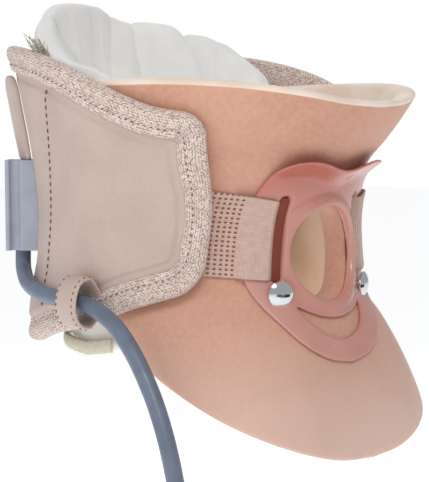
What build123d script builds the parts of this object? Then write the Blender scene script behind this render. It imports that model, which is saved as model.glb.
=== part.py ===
from build123d import *
import os
from math import cos, hypot, pi, radians, sin, tan

# Inflatable cervical traction collar, in millimetres.
# +Z is up, -Y is the wearer's front, -X is the wearer's right (the side the hose is on).
# The origin is on the neck's axis, at the height of the collar's waist.
#
# The soft walls are all cut from lofts through horizontal ovals, measured on the outer face.
# Each oval is (height, half width, front y, back y). The foam's ovals also have an exponent:
# 2 is a plain ellipse, and a larger one is squarer at its corners.

# ---------------------------------------------------------------- driving dimensions
FOAM_OVALS = [
    (-92, 84.5, -114.0, 46.0, 3.1),
    (-72, 82.5, -110.5, 50.5, 3.1),
    (-59, 81.3, -107.0, 54.5, 3.1),
    (-45, 79.0, -101.5, 59.0, 3.0),
    (-33, 76.3, -95.5, 64.5, 2.9),
    (-20, 72.7, -90.0, 72.0, 2.6),
    (-8, 70.2, -84.0, 80.5, 2.2),
    (15, 69.5, -80.0, 80.0, 2.0),
    (45, 70.5, -84.5, 83.0, 2.0),
    (54, 71.7, -90.0, 85.0, 2.0),
    (63, 73.2, -99.0, 86.0, 2.05),
    (75, 76.0, -109.0, 85.5, 2.1),
    (84, 78.5, -115.5, 84.0, 2.1),
    (100, 81.0, -123.0, 82.0, 2.1),
]
COVER_OVALS = [
    (-42, 78.5, -92.5, 84.5),
    (10, 76.5, -88.0, 79.0),
    (30, 76.5, -87.0, 77.0),
    (45, 77.5, -90.4, 79.0),
    (60, 79.2, -99.0, 84.0),
    (80, 82.6, -108.0, 90.0),
    (112, 87.0, -119.0, 99.0),
]
CUSHION_OVALS = [
    (-40, 57.5, -60.0, 72.5),
    (15, 57.0, -58.0, 69.0),
    (45, 57.0, -58.0, 70.5),
    (80, 60.0, -60.0, 78.0),
    (107, 64.0, -62.0, 84.0),
    (134, 59.0, -58.0, 82.0),
]
FOAM_THICK = 7.5
OUTLINE_POINTS = 32
TOP_RIM = [(-130, 76), (-116, 80.5), (-98, 85.5), (-80, 88), (-57, 89.5), (-20, 89.5), (40, 89)]  # (y, z)
BOTTOM_RIM = [(-125, -92), (-110, -80), (-103, -70), (-87, -57.5), (-60, -41.5), (-30, -24), (0, -9), (40, 12)]
FOAM_END_Y = 18.0
FOAM_EDGE_R = 2.6
RIM_EDGE_LENGTH = 120.0  # the foam's rim edges are the only ones longer than this

FAR = 150.0  # beyond every part of the collar
FRONT_NEAR_Y = -30.0  # cuts made from the front stop here

TRACHEA_Z, TRACHEA_RX, TRACHEA_RZ = 13.0, 20.0, 20.8
TRACHEA_LIP = 4.5

PLATE_GAP, PLATE_THICK = 0.3, 2.2
RIVET_X, RIVET_Z = 28.5, -3.5
RIVET_CAP_R, RIVET_CAP_H, RIVET_RIM_H, RIVET_POST_R = 5.8, 2.8, 0.8, 2.0
WASHER_R, WASHER_THICK, WASHER_GAP = 5.0, 1.2, 0.1
# Half of the plate's edge, seen from the front, (x, z): down from the foot of its curled lip.
PLATE_EDGE = [(-31, 50), (-38, 43), (-38, 25), (-39, 3), (-35.5, -9), (-26, -24), (-13, -32), (0, -34.5)]
TRACHEA_RIM_STAND = 1.6  # how far the ring round the opening stands off the plate
CRESCENT_END, CRESCENT_TOP, CRESCENT_FOOT = (21.0, -9.0), -15.3, -24.6
LIP_REACH = 7.5  # how far the plate's curled top edge stands off the foam
LIP_FOOT, LIP_SIDE, LIP_CREST = (31.0, 50.0), (27.0, 53.5), 54.5
LIP_STEP_Z, LIP_STEP_WIDE, LIP_STEP_TALL = 49.0, 60.0, 2.4
SLOT_WIDTH = 4.4
SLOT_TOP, SLOT_FOOT = (27.0, 38.8), (31.0, 1.4)  # ends of the slot's centre line, (x, z)

STRAP_LAYERS = ((0.3, 1.7), (2.8, 4.2))  # off the foam: beside the plate, and over its edge
HOOK_LAYER = (1.7, 2.15)
STRAP_LOW, STRAP_HIGH = (2.2, 6.0), (37.0, 44.5)  # edge heights, at the slot and at the far end
STRAP_END_X, STRAP_END_Y = 66.0, -25.0
# Distances from the middle along the strap.
TAIL_X, OVER_PLATE_X, RISER_X, BESIDE_PLATE_X = (24.0, 34.0), (28.6, 40.8), (39.4, 40.8), (39.6, STRAP_END_X)
HOOK_X = (54.0, 64.5)
SLOT_CLEARANCE = 0.5
# Every distance off the foam at which one of its layers begins or ends.
FOAM_LAYERS = {
    0, PLATE_GAP, PLATE_GAP + PLATE_THICK, PLATE_GAP + PLATE_THICK + TRACHEA_RIM_STAND,
    LIP_REACH - PLATE_THICK, LIP_REACH, *STRAP_LAYERS[0], *STRAP_LAYERS[1], *HOOK_LAYER,
}

COVER_SKIN, BOARD_THICK, LINING_THICK = 1.2, 1.5, 1.6
BINDING_WIDTH, BINDING_EDGE, BINDING_THICK = 12.0, 1.5, 1.0
PRESS_GAP = 0.1  # between a wing's inner face and the foam it presses in
BOARD_INSET = 16.0
SEAM_Y, SEAM_GAP = 22.0, 0.4  # the wings fold along y = SEAM_Y
BACK_FAR_Y = 125.0
CORNER_R, FOOT_CORNER_R = 14.0, 12.5

CUSHION_THICK, BLADDER_DEPTH, BLADDER_THICK, BLADDER_INSET = 20.0, 8.0, 3.0, 13.0
CUSHION_SIDE = [
    (-16, -29), (12, -38), (95, -38), (95, 121), (62, 124), (46, 130), (30, 117), (10, 92), (-6, 60), (-14, 15),
]

CONNECTOR_DIRECTION = (-0.72, 0.694)  # the way the hose connector faces, in plan
CONNECTOR_WIDTH = 22.0
CONNECTOR_LOW, CONNECTOR_HIGH = 9.5, 52.7
CONNECTOR_BASE, CONNECTOR_NECK, CONNECTOR_LIP, CONNECTOR_TIP = 72.0, 84.5, 89.2, 91.5
NECK_HALF, NECK_FILLET = 8.0, 2.2
TAB_HIGH, TAB_THICK, TAB_FOOT_X, TAB_HEAD_X, TAB_HEAD_R = 93.0, 2.8, 81.0, 88.3, 9.0
NIPPLE_R, NIPPLE_BORE_R, NIPPLE_START, NIPPLE_END = 3.0, 1.8, 55.0, 80.0
SCREW_R, SCREW_START, SCREW_END, SCREW_SPACING = 1.5, 68.8, 80.0, (30.0, 14.0)
SCREW_HEAD = 1.2  # how far a screw's head stands out all round, and its thickness
BACKPLATE_THICK, BACKPLATE_INSET = 1.5, 3.0
CONNECTOR_ORIGIN = (1.2, 1.2, 0)
CONNECTOR_EDGE_R = 0.9

HOSE_R = 3.75
# Hand-chosen points of the hose's route, from the connector down to the valve.
HOSE_ROUTE = [
    (-59.3, 59.6, 9.5),
    (-60.0, 60.0, -0.5),
    (-66.1, 55.2, -8.4),
    (-72.9, 46.1, -12.0),
    (-78.8, 33.4, -13.2),
    (-82.8, 19.2, -12.6),
    (-84.9, 3.8, -12.0),
    (-85.8, -13.0, -11.2),
    (-86.4, -29.0, -14.5),
    (-87.0, -43.5, -23.5),
    (-87.8, -56.0, -36.5),
    (-88.4, -67.0, -53.0),
    (-89.3, -76.5, -74.0),
    (-89.9, -83.0, -100.0),
    (-90.2, -87.0, -132.0),
    (-90.0, -88.5, -168.0),
    (-90.0, -88.5, -205.0),
]

PUMP_X, PUMP_Y = -90.0, -88.5  # the pump hangs on this upright line
VALVE_HIGH, VALVE_LOW, VALVE_R = -205.0, -237.0, 6.5
BULB_LOW, BULB_R, BULB_NECK_R, BULB_WALL, BULB_NECK = -309.0, 22.5, 8.2, 2.4, 8.0
CAVITY_HALF = 26.0
SHOULDER_R, SHOULDER_RISE = 18.45, 16.0  # a point on the bulb's side between its belly and its neck
SPIGOT_R, SPIGOT_LONG, AIRWAY_R = 4.6, 8.0, 1.6
RELEASE_Z, BOSS_R, BOSS_REACH = -221.0, 4.6, 10.0
NEEDLE_R, NEEDLE_GAP, NEEDLE_TIP = 1.7, 0.05, -3.0
KNOB_R, KNOB_LONG, KNOB_RIBS, KNOB_START = 7.0, 9.0, 18, 13.0
KNOB_RIB_R, KNOB_CAP = 0.55, 2.0
INLET_FLANGE_R, INLET_LOW = 8.2, -317.0
BALL_R, CHAMBER_R, BALL_LIFT = 2.4, 2.75, 1.0
BALL_SEAT, BALL_HEADROOM = 0.1, 0.2
HOSE_SEAT = 4.0

KEEPER_Y, KEEPER_HALF, KEEPER_THICK = -10.5, 7.0, 1.8
KEEPER_CENTRE, KEEPER_WIDE, KEEPER_TALL, KEEPER_CORNER = (-83.3, -8.5), 17.0, 22.0, 5.5

os.makedirs("parts", exist_ok=True)


# ---------------------------------------------------------------- helpers
def oval_loft(ovals, grow):
    """A solid through horizontal ovals, each made larger all round by grow."""
    with BuildPart() as body:
        for height, half_width, front, back in ovals:
            with BuildSketch(Plane.XY.offset(height)):
                with Locations((0, (front + back) / 2)):
                    Ellipse(half_width + grow, (back - front) / 2 + grow)
        loft()
    return body.part


def front_slab(sketch_face, low_y, high_y):
    """A front outline drawn in (x, z), extruded between two y values."""
    with BuildPart() as slab:
        with BuildSketch(Plane.XZ.offset(-high_y)):
            add(sketch_face)
        extrude(amount=high_y - low_y)
    return slab.part


def finish_part(shape, name):
    """Label a finished piece and write its STEP file."""
    shape.label = name
    export_step(shape, f"parts/{name}.step")


def superellipse(half_width, front, back, exponent):
    """A closed outline in plan, widest at y = 0."""
    spots = []
    for step in range(OUTLINE_POINTS):
        turn = pi + 2 * pi * step / OUTLINE_POINTS
        across, along = sin(turn), -cos(turn)
        power = exponent if along < 0 else 2
        reach = (abs(across) ** power + abs(along) ** power) ** (-1 / power)
        spots.append((half_width * across * reach, (back if along > 0 else -front) * along * reach))
    return Spline(*spots, periodic=True)


def foam_loft(grow):
    """The foam's outer shape, made larger all round by grow."""
    with BuildPart() as body:
        for height, half_width, front, back, exponent in FOAM_OVALS:
            with BuildSketch(Plane.XY.offset(height)):
                with BuildLine():
                    superellipse(half_width + grow, front - grow, back + grow, exponent)
                make_face()
        loft()
    return body.part


def foam_point(x, z, grow):
    """The point of the foam's front wall at (x, z), with its outward direction in plan."""
    for low, high in zip(FOAM_OVALS, FOAM_OVALS[1:]):
        if low[0] <= z <= high[0]:
            share = (z - low[0]) / (high[0] - low[0])
            half_width, front, _, power = [a + share * (b - a) for a, b in zip(low[1:], high[1:])]
    half_width, reach = half_width + grow, grow - front
    y = -reach * (1 - abs(x / half_width) ** power) ** (1 / power)
    nx = abs(x / half_width) ** (power - 1) / half_width * (1 if x > 0 else -1)
    ny = -abs(y / reach) ** (power - 1) / reach
    size = hypot(nx, ny)
    return Vector(x, y, z), Vector(nx / size, ny / size, 0)


# ---------------------------------------------------------------- front section: foam shell
def rim_block(rim, far_height):
    """Everything beyond a rim, which is a curve seen from the side, out to a far height."""
    with BuildPart() as block:
        with BuildSketch(Plane.YZ.offset(-FAR)):
            with BuildLine():
                edge = Spline(*rim)
                Polyline(edge @ 1, ((edge @ 1).X, far_height), ((edge @ 0).X, far_height), edge @ 0)
            make_face()
        extrude(amount=2 * FAR)
    return block.part


with BuildSketch() as trachea_outline:
    with Locations((0, TRACHEA_Z)):
        Ellipse(TRACHEA_RX, TRACHEA_RZ)

with BuildSketch() as trachea_lip_outline:
    with Locations((0, TRACHEA_Z)):
        Ellipse(TRACHEA_RX + TRACHEA_LIP, TRACHEA_RZ + TRACHEA_LIP)

with BuildPart() as foam_blank:
    add(foam_loft(0))
    add(foam_loft(-FOAM_THICK), mode=Mode.SUBTRACT)
    add(rim_block(TOP_RIM, FAR), mode=Mode.SUBTRACT)
    add(rim_block(BOTTOM_RIM, -FAR), mode=Mode.SUBTRACT)
    with BuildSketch(Plane.XZ.offset(-FOAM_END_Y)):
        Rectangle(2 * FAR, 4 * FAR)
    extrude(amount=-FAR, mode=Mode.SUBTRACT)
    fillet(foam_blank.edges().filter_by(lambda edge: edge.length > RIM_EDGE_LENGTH), FOAM_EDGE_R)
    add(front_slab(trachea_outline.sketch, -FAR, FRONT_NEAR_Y), mode=Mode.SUBTRACT)

# ---------------------------------------------------------------- front section: rigid plate
foam_out = {grow: foam_loft(grow) for grow in FOAM_LAYERS}

with BuildSketch() as plate_outline:
    with BuildLine():
        rim = Spline(*PLATE_EDGE)
        Line(rim @ 0, LIP_FOOT)
        mirror(rim, about=Plane.YZ)
    make_face()

with BuildSketch() as slot_outline:
    slot_line = Line(SLOT_TOP, SLOT_FOOT, mode=Mode.PRIVATE)
    with Locations(slot_line @ 0.5):
        SlotOverall(slot_line.length, SLOT_WIDTH, rotation=slot_line.tangent_angle_at(0))
    mirror(about=Plane.YZ)

with BuildSketch() as crescent_outline:
    with BuildLine():
        far_end = (-CRESCENT_END[0], CRESCENT_END[1])
        ThreePointArc(far_end, (0, CRESCENT_TOP), CRESCENT_END)
        ThreePointArc(far_end, (0, CRESCENT_FOOT), CRESCENT_END)
    make_face()

with BuildSketch() as lip_outline:
    with BuildLine():
        Line((0, LIP_FOOT[1]), LIP_FOOT)
        Line(LIP_FOOT, LIP_SIDE)
        ThreePointArc(LIP_SIDE, (0, LIP_CREST), (-LIP_SIDE[0], LIP_SIDE[1]))
        Line((-LIP_SIDE[0], LIP_SIDE[1]), (-LIP_FOOT[0], LIP_FOOT[1]))
        Line((-LIP_FOOT[0], LIP_FOOT[1]), (0, LIP_FOOT[1]))
    make_face()

with BuildPart() as front_plate_blank:
    add(foam_out[PLATE_GAP + PLATE_THICK])
    add(foam_out[PLATE_GAP], mode=Mode.SUBTRACT)
    add(front_slab(plate_outline.sketch, -FAR, FRONT_NEAR_Y), mode=Mode.INTERSECT)

with BuildPart() as trachea_rim:
    add(foam_out[PLATE_GAP + PLATE_THICK + TRACHEA_RIM_STAND])
    add(foam_out[PLATE_GAP], mode=Mode.SUBTRACT)
    add(front_slab(trachea_lip_outline.sketch, -FAR, FRONT_NEAR_Y), mode=Mode.INTERSECT)

with BuildPart() as curled_lip:
    add(foam_out[LIP_REACH])
    add(foam_out[LIP_REACH - PLATE_THICK], mode=Mode.SUBTRACT)
    add(front_slab(lip_outline.sketch, -FAR, FRONT_NEAR_Y), mode=Mode.INTERSECT)

with BuildPart() as lip_step:
    add(foam_out[LIP_REACH])
    add(foam_out[PLATE_GAP], mode=Mode.SUBTRACT)
    with BuildSketch(Plane.XZ.offset(-FRONT_NEAR_Y)):
        with Locations((0, LIP_STEP_Z)):
            Rectangle(LIP_STEP_WIDE, LIP_STEP_TALL)
    extrude(amount=FAR, mode=Mode.INTERSECT)


def rivet_place(side):
    """The plane of one rivet: on the plate's face, pointing outwards."""
    point, outward = foam_point(side * RIVET_X, RIVET_Z, PLATE_GAP + PLATE_THICK)
    return Plane(origin=point, x_dir=(0, 0, 1), z_dir=outward)


rivet_planes = [rivet_place(-1), rivet_place(1)]
post_length = FOAM_THICK + PLATE_GAP + PLATE_THICK + WASHER_THICK

with BuildPart() as rivet_posts:
    for place in rivet_planes:
        with BuildSketch(place):
            Circle(RIVET_POST_R)
        extrude(amount=-post_length)


def rivet_cap(place):
    """A low dome on a short straight rim."""
    rise = RIVET_CAP_H - RIVET_RIM_H
    dome_r = (RIVET_CAP_R**2 + rise**2) / (2 * rise)
    with BuildPart() as cap:
        with BuildSketch(place):
            Circle(RIVET_CAP_R)
        extrude(amount=2 * RIVET_CAP_H)
        with Locations(place.offset(RIVET_CAP_H - dome_r)):
            Sphere(dome_r, mode=Mode.INTERSECT)
    return cap.part


with BuildPart() as rivet_caps:
    for place in rivet_planes:
        add(rivet_cap(place))
    add(rivet_posts.part)

with BuildPart() as rivet_washers:
    for place in rivet_planes:
        inner_face = place.offset(WASHER_THICK - WASHER_GAP - post_length)
        with BuildSketch(inner_face):
            Circle(WASHER_R)
        extrude(amount=-WASHER_THICK)
    add(rivet_posts.part, mode=Mode.SUBTRACT)

with BuildPart() as front_plate:
    add(front_plate_blank.part)
    add(trachea_rim.part)
    add(curled_lip.part)
    add(lip_step.part)
    add(front_slab(trachea_outline.sketch, -FAR, FRONT_NEAR_Y), mode=Mode.SUBTRACT)
    add(front_slab(slot_outline.sketch, -FAR, FRONT_NEAR_Y), mode=Mode.SUBTRACT)
    add(front_slab(crescent_outline.sketch, -FAR, FRONT_NEAR_Y), mode=Mode.SUBTRACT)
    add(rivet_caps.part, mode=Mode.SUBTRACT)

finish_part(front_plate.part, "front_plate")
finish_part(rivet_caps.part, "rivets")
finish_part(rivet_washers.part, "rivet_washers")


# ---------------------------------------------------------------- front section: straps
def strap_strip(low, high, inner_x, outer_x):
    """Part of the right strap: the layer from low to high, between two distances from the middle."""
    with BuildSketch() as strip:
        with BuildLine():
            Polyline(
                (-inner_x, strap_edge(STRAP_LOW, inner_x)),
                (-outer_x, strap_edge(STRAP_LOW, outer_x)),
                (-outer_x, strap_edge(STRAP_HIGH, outer_x)),
                (-inner_x, strap_edge(STRAP_HIGH, inner_x)),
                close=True,
            )
        make_face()
    with BuildPart() as piece:
        add(foam_out[high])
        add(foam_out[low], mode=Mode.SUBTRACT)
        add(front_slab(strip.sketch, -FAR, STRAP_END_Y), mode=Mode.INTERSECT)
    return piece.part


def strap_edge(heights, x):
    """The height of a strap's edge at a distance x from the middle; the strap rises outwards."""
    share = (x - SLOT_TOP[0]) / (STRAP_END_X - SLOT_TOP[0])
    return heights[0] + share * (heights[1] - heights[0])


under, over = STRAP_LAYERS
with BuildSketch() as slot_filling:
    add(slot_outline.sketch)
    offset(amount=-SLOT_CLEARANCE, mode=Mode.REPLACE)

with BuildPart() as strap_tail:
    add(strap_strip(under[0], over[1], *TAIL_X))
    add(front_slab(slot_filling.sketch, -FAR, FRONT_NEAR_Y), mode=Mode.INTERSECT)

with BuildPart() as strap_right:
    add(strap_strip(under[0], under[1], *BESIDE_PLATE_X))
    add(strap_strip(under[0], over[1], *RISER_X))
    add(strap_strip(over[0], over[1], *OVER_PLATE_X))
    add(strap_tail.part)

with BuildPart() as strap_left:
    mirror(strap_right.part, about=Plane.YZ)

with BuildPart() as strap_hook_right:
    add(strap_strip(*HOOK_LAYER, *HOOK_X))

with BuildPart() as strap_hook_left:
    mirror(strap_hook_right.part, about=Plane.YZ)

finish_part(strap_right.part, "strap_right")
finish_part(strap_left.part, "strap_left")
finish_part(strap_hook_right.part, "strap_hook_right")
finish_part(strap_hook_left.part, "strap_hook_left")

# ---------------------------------------------------------------- rear cover and its wings
COVER_TOP = [(-29, 85), (-10, 93), (SEAM_Y, 102), (60, 107), (250, 107)]
COVER_FOOT = [(250, -32), (38, -32), (SEAM_Y, -27), (-12, -19)]
# The right wing reaches further forward than the left one.
WING_FRONTS = {
    "right": ([(-69.5, 75), (-52, 77)], [(-29, -12), (-48, -5.6), (-61, -1)], [(-63, 25), (-66, 55)]),
    "left": ([(-43, 79)], [(-30, -12)], [(-31, 25), (-34, 52)]),
}


def cover_outline(side):
    """The cover seen from one side, with the front edge of that side's wing."""
    top, foot, front = WING_FRONTS[side]
    with BuildSketch() as outline:
        with BuildLine():
            Polyline(*top, *COVER_TOP, *COVER_FOOT, *foot, *front, close=True)
        make_face()
        fillet(outline.vertices().sort_by_distance(top[0])[0], CORNER_R)
        fillet(outline.vertices().sort_by_distance(foot[-1])[0], FOOT_CORNER_R)
    return outline.sketch


cover_outlines = {side: cover_outline(side) for side in WING_FRONTS}
cover_outlines["back"] = cover_outlines["right"]


def cover_slab(side, inset):
    """The side outline of the cover, made smaller by inset and extruded across it."""
    with BuildPart() as slab:
        with BuildSketch(Plane.YZ.offset(-FAR)):
            add(cover_outlines[side])
            if inset:
                offset(amount=-inset, mode=Mode.REPLACE)
        extrude(amount=2 * FAR)
    return slab.part


def zone(low_x, high_x, low_y, high_y):
    """An upright block over a rectangle of the plan, taller than the collar and its hose."""
    with BuildPart() as block:
        with BuildSketch(Plane.XY.offset(2 * -FAR)):
            with Locations(((low_x + high_x) / 2, (low_y + high_y) / 2)):
                Rectangle(high_x - low_x, high_y - low_y)
        extrude(amount=4 * FAR)
    return block.part


board_depth = COVER_SKIN + BOARD_THICK
lining_depth = board_depth + LINING_THICK
pressed_depth = lining_depth + BINDING_THICK + PRESS_GAP
cover_in = {depth: oval_loft(COVER_OVALS, -depth) for depth in
            (-BINDING_THICK, 0, COVER_SKIN, board_depth, lining_depth, lining_depth + BINDING_THICK, pressed_depth)}
slabs = {
    side: {inset: cover_slab(side, inset) for inset in (0, BINDING_EDGE, BINDING_WIDTH, BOARD_INSET)}
    for side in cover_outlines
}


def layer(outer_depth, inner_depth, slab, area):
    """One layer of the cover's laminate over one area of the plan."""
    with BuildPart() as sheet:
        add(cover_in[outer_depth])
        add(cover_in[inner_depth], mode=Mode.SUBTRACT)
        add(slab, mode=Mode.INTERSECT)
        add(area, mode=Mode.INTERSECT)
    return sheet.part


def binding(side, area):
    """The folded tape round the edge: a flange on each face and a strip over the edge."""
    with BuildPart() as tape:
        add(layer(-BINDING_THICK, lining_depth + BINDING_THICK, slabs[side][0], area))
        add(slabs[side][BINDING_WIDTH], mode=Mode.SUBTRACT)
        add(layer(0, lining_depth, slabs[side][BINDING_EDGE], area), mode=Mode.SUBTRACT)
    return tape.part


def board_and_lining(side, area):
    """The stiff board, shorter than the cover all round, and the lining that wraps its edge."""
    board = layer(COVER_SKIN, board_depth, slabs[side][BOARD_INSET], area)
    with BuildPart() as lining:
        add(layer(COVER_SKIN, lining_depth, slabs[side][BINDING_EDGE], area))
        add(board, mode=Mode.SUBTRACT)
    return board, lining.part


areas = {
    "right": zone(-FAR, 0, -FAR, SEAM_Y),
    "left": zone(0, FAR, -FAR, SEAM_Y),
    "back": zone(-FAR, FAR, SEAM_Y + SEAM_GAP, BACK_FAR_Y),
}

# The foam is pressed in a little where the wings lie against it.
with BuildPart() as foam_shell:
    add(foam_blank.part)
    add(rivet_posts.part, mode=Mode.SUBTRACT)
    add(rivet_washers.part, mode=Mode.SUBTRACT)
    for side in WING_FRONTS:
        add(layer(0, pressed_depth, slabs[side][0], areas[side]), mode=Mode.SUBTRACT)

finish_part(foam_shell.part, "foam_shell")

# ---------------------------------------------------------------- hose connector and its fixings
connector_plane = Plane(origin=CONNECTOR_ORIGIN, x_dir=(*CONNECTOR_DIRECTION, 0), z_dir=(0, 0, 1))
connector_middle = (CONNECTOR_LOW + CONNECTOR_HIGH) / 2


def connector_axis_plane(distance, height):
    """The plane square to the connector's direction, a distance out from the neck's axis."""
    origin = connector_plane.from_local_coords((distance, 0, height))
    return Plane(origin=origin, x_dir=(0, 0, 1), z_dir=(*CONNECTOR_DIRECTION, 0))


with BuildPart() as nipple_blank:
    with BuildSketch(connector_axis_plane(NIPPLE_START, connector_middle)):
        Circle(NIPPLE_R)
    extrude(amount=NIPPLE_END - NIPPLE_START)

with BuildPart() as bladder_nipple:
    add(nipple_blank.part)
    with BuildSketch(connector_axis_plane(NIPPLE_START, connector_middle)):
        Circle(NIPPLE_BORE_R)
    extrude(amount=NIPPLE_END - NIPPLE_START, mode=Mode.SUBTRACT)

with BuildPart() as connector_screws:
    with BuildSketch(connector_axis_plane(SCREW_START, connector_middle)):
        with GridLocations(SCREW_SPACING[0], SCREW_SPACING[1], 2, 2):
            Circle(SCREW_R)
    extrude(amount=SCREW_END - SCREW_START)
    with BuildSketch(connector_axis_plane(SCREW_START - SCREW_HEAD, connector_middle)):
        with GridLocations(SCREW_SPACING[0], SCREW_SPACING[1], 2, 2):
            Circle(SCREW_R + SCREW_HEAD)
    extrude(amount=SCREW_HEAD)

with BuildPart() as connector_backplate:
    add(cover_in[lining_depth])
    add(oval_loft(COVER_OVALS, -lining_depth - BACKPLATE_THICK), mode=Mode.SUBTRACT)
    with BuildSketch(connector_plane.offset(CONNECTOR_LOW + BACKPLATE_INSET)):
        with Locations((CONNECTOR_BASE, 0)):
            Rectangle(2 * CONNECTOR_WIDTH, CONNECTOR_WIDTH + 2)
    extrude(amount=CONNECTOR_HIGH - CONNECTOR_LOW - 2 * BACKPLATE_INSET, mode=Mode.INTERSECT)
    add(nipple_blank.part, mode=Mode.SUBTRACT)
    add(connector_screws.part, mode=Mode.SUBTRACT)

with BuildPart() as hose_connector:
    half = CONNECTOR_WIDTH / 2
    with BuildSketch(connector_plane.offset(CONNECTOR_LOW)):
        with BuildLine():
            edge = Polyline(
                (CONNECTOR_BASE, half),
                (CONNECTOR_NECK, half),
                (CONNECTOR_NECK, NECK_HALF),
                (CONNECTOR_LIP, NECK_HALF),
                (CONNECTOR_LIP, half),
                (CONNECTOR_TIP, half),
                (CONNECTOR_TIP, 0),
            )
            mirror(edge, about=Plane.XZ)
            Line((CONNECTOR_BASE, half), (CONNECTOR_BASE, -half))
        make_face()
    extrude(amount=CONNECTOR_HIGH - CONNECTOR_LOW)
    inner_edges = hose_connector.edges().filter_by(Axis.Z).filter_by(
        lambda edge: abs(abs(connector_plane.to_local_coords(edge.center()).Y) - NECK_HALF) < 0.1
    )
    fillet(inner_edges, NECK_FILLET)
    outer_edges = hose_connector.edges().filter_by(Axis.Z).filter_by(
        lambda edge: abs(abs(connector_plane.to_local_coords(edge.center()).Y) - half) < 0.1
    )
    fillet(outer_edges, CONNECTOR_EDGE_R)
    add(cover_in[0], mode=Mode.SUBTRACT)
    add(nipple_blank.part, mode=Mode.SUBTRACT)
    add(connector_screws.part, mode=Mode.SUBTRACT)

with BuildPart() as pull_tab:
    with BuildSketch(Plane(origin=connector_plane.origin, x_dir=connector_plane.x_dir,
                           z_dir=connector_plane.y_dir * -1).offset(-CONNECTOR_WIDTH / 2)):
        with BuildLine():
            Polyline(
                (TAB_FOOT_X, CONNECTOR_HIGH),
                (TAB_FOOT_X + TAB_THICK, CONNECTOR_HIGH),
                (TAB_HEAD_X + TAB_THICK, TAB_HIGH),
                (TAB_HEAD_X, TAB_HIGH),
                close=True,
            )
        make_face()
    extrude(amount=CONNECTOR_WIDTH)
    head_edges = pull_tab.edges().sort_by(Axis.Z)[-4:].filter_by(lambda edge: edge.length < TAB_THICK * 1.3)
    fillet(head_edges, TAB_HEAD_R)

finish_part(hose_connector.part, "hose_connector")
finish_part(bladder_nipple.part, "bladder_nipple")
finish_part(connector_screws.part, "connector_screws")
finish_part(connector_backplate.part, "connector_backplate")
finish_part(pull_tab.part, "pull_tab")

# ---------------------------------------------------------------- writing the cover's layers
for side, area in areas.items():
    board, lining = board_and_lining(side, area)
    skin = layer(0, COVER_SKIN, slabs[side][BINDING_EDGE], area)
    tape = binding(side, area)
    for sheet, name in ((skin, "cover"), (board, "board"), (lining, "lining"), (tape, "binding")):
        with BuildPart() as piece:
            add(sheet)
            if side == "back" and name != "binding":
                add(nipple_blank.part, mode=Mode.SUBTRACT)
                add(connector_screws.part, mode=Mode.SUBTRACT)
        finish_part(piece.part, f"{name}_{side}")

# ---------------------------------------------------------------- air cushion and bladder
with BuildSketch() as cushion_outline:
    with BuildLine():
        Polyline(*CUSHION_SIDE, close=True)
    make_face()


def cushion_slab(inset):
    """The side outline of the cushion, made smaller by inset and extruded across the collar."""
    with BuildPart() as slab:
        with BuildSketch(Plane.YZ.offset(-FAR)):
            add(cushion_outline.sketch)
            if inset:
                offset(amount=-inset, mode=Mode.REPLACE)
        extrude(amount=2 * FAR)
    return slab.part


with BuildPart() as air_bladder:
    add(oval_loft(CUSHION_OVALS, -BLADDER_DEPTH))
    add(oval_loft(CUSHION_OVALS, -BLADDER_DEPTH - BLADDER_THICK), mode=Mode.SUBTRACT)
    add(cushion_slab(BLADDER_INSET), mode=Mode.INTERSECT)
    add(nipple_blank.part, mode=Mode.SUBTRACT)

with BuildPart() as air_cushion:
    add(oval_loft(CUSHION_OVALS, 0))
    add(oval_loft(CUSHION_OVALS, -CUSHION_THICK), mode=Mode.SUBTRACT)
    add(cushion_slab(0), mode=Mode.INTERSECT)
    add(air_bladder.part, mode=Mode.SUBTRACT)
    add(nipple_blank.part, mode=Mode.SUBTRACT)

finish_part(air_cushion.part, "air_cushion")
finish_part(air_bladder.part, "air_bladder")


# ---------------------------------------------------------------- hose
def hose_bends(points):
    """The radius of each corner: 0.45 of its shorter run over the tangent of half its turn."""
    radii = []
    for before, corner, after in zip(points, points[1:], points[2:]):
        run_in = Vector(*corner) - Vector(*before)
        run_out = Vector(*after) - Vector(*corner)
        turn = radians(run_in.get_angle(run_out))
        radii.append(0.45 * min(run_in.length, run_out.length) / tan(turn / 2))
    return radii


with BuildLine() as hose_line:
    FilletPolyline(*HOSE_ROUTE, radius=hose_bends(HOSE_ROUTE))

with BuildPart() as whole_hose:
    start = Vector(*HOSE_ROUTE[0])
    first_run = Vector(*HOSE_ROUTE[1]) - start
    with BuildSketch(Plane(origin=start, z_dir=first_run)):
        Circle(HOSE_R)
    sweep(path=hose_line.line)
    # The end at the connector is cut square to the vertical, against its flat lower face.
    with BuildSketch(Plane.XY.offset(CONNECTOR_LOW)):
        with Locations(HOSE_ROUTE[0][:2]):
            Rectangle(30, 30)
    extrude(amount=10, mode=Mode.SUBTRACT)

with BuildPart() as hose_upper:
    add(whole_hose.part)
    add(zone(-FAR, 0, -FAR, SEAM_Y + SEAM_GAP / 2), mode=Mode.SUBTRACT)

with BuildPart() as hose_lower:
    add(whole_hose.part)
    add(zone(-FAR, 0, -FAR, SEAM_Y + SEAM_GAP / 2), mode=Mode.INTERSECT)

hose_length = sum(edge.length for edge in hose_line.line.edges())
print("hose length", round(hose_length, 1))
print("hose radii", [round(radius, 1) for radius in hose_bends(HOSE_ROUTE)])
print("hose volume", round(whole_hose.part.volume))
print("section times length", round(pi * HOSE_R**2 * hose_length))
finish_part(hose_upper.part, "hose_upper")
finish_part(hose_lower.part, "hose_lower")


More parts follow.
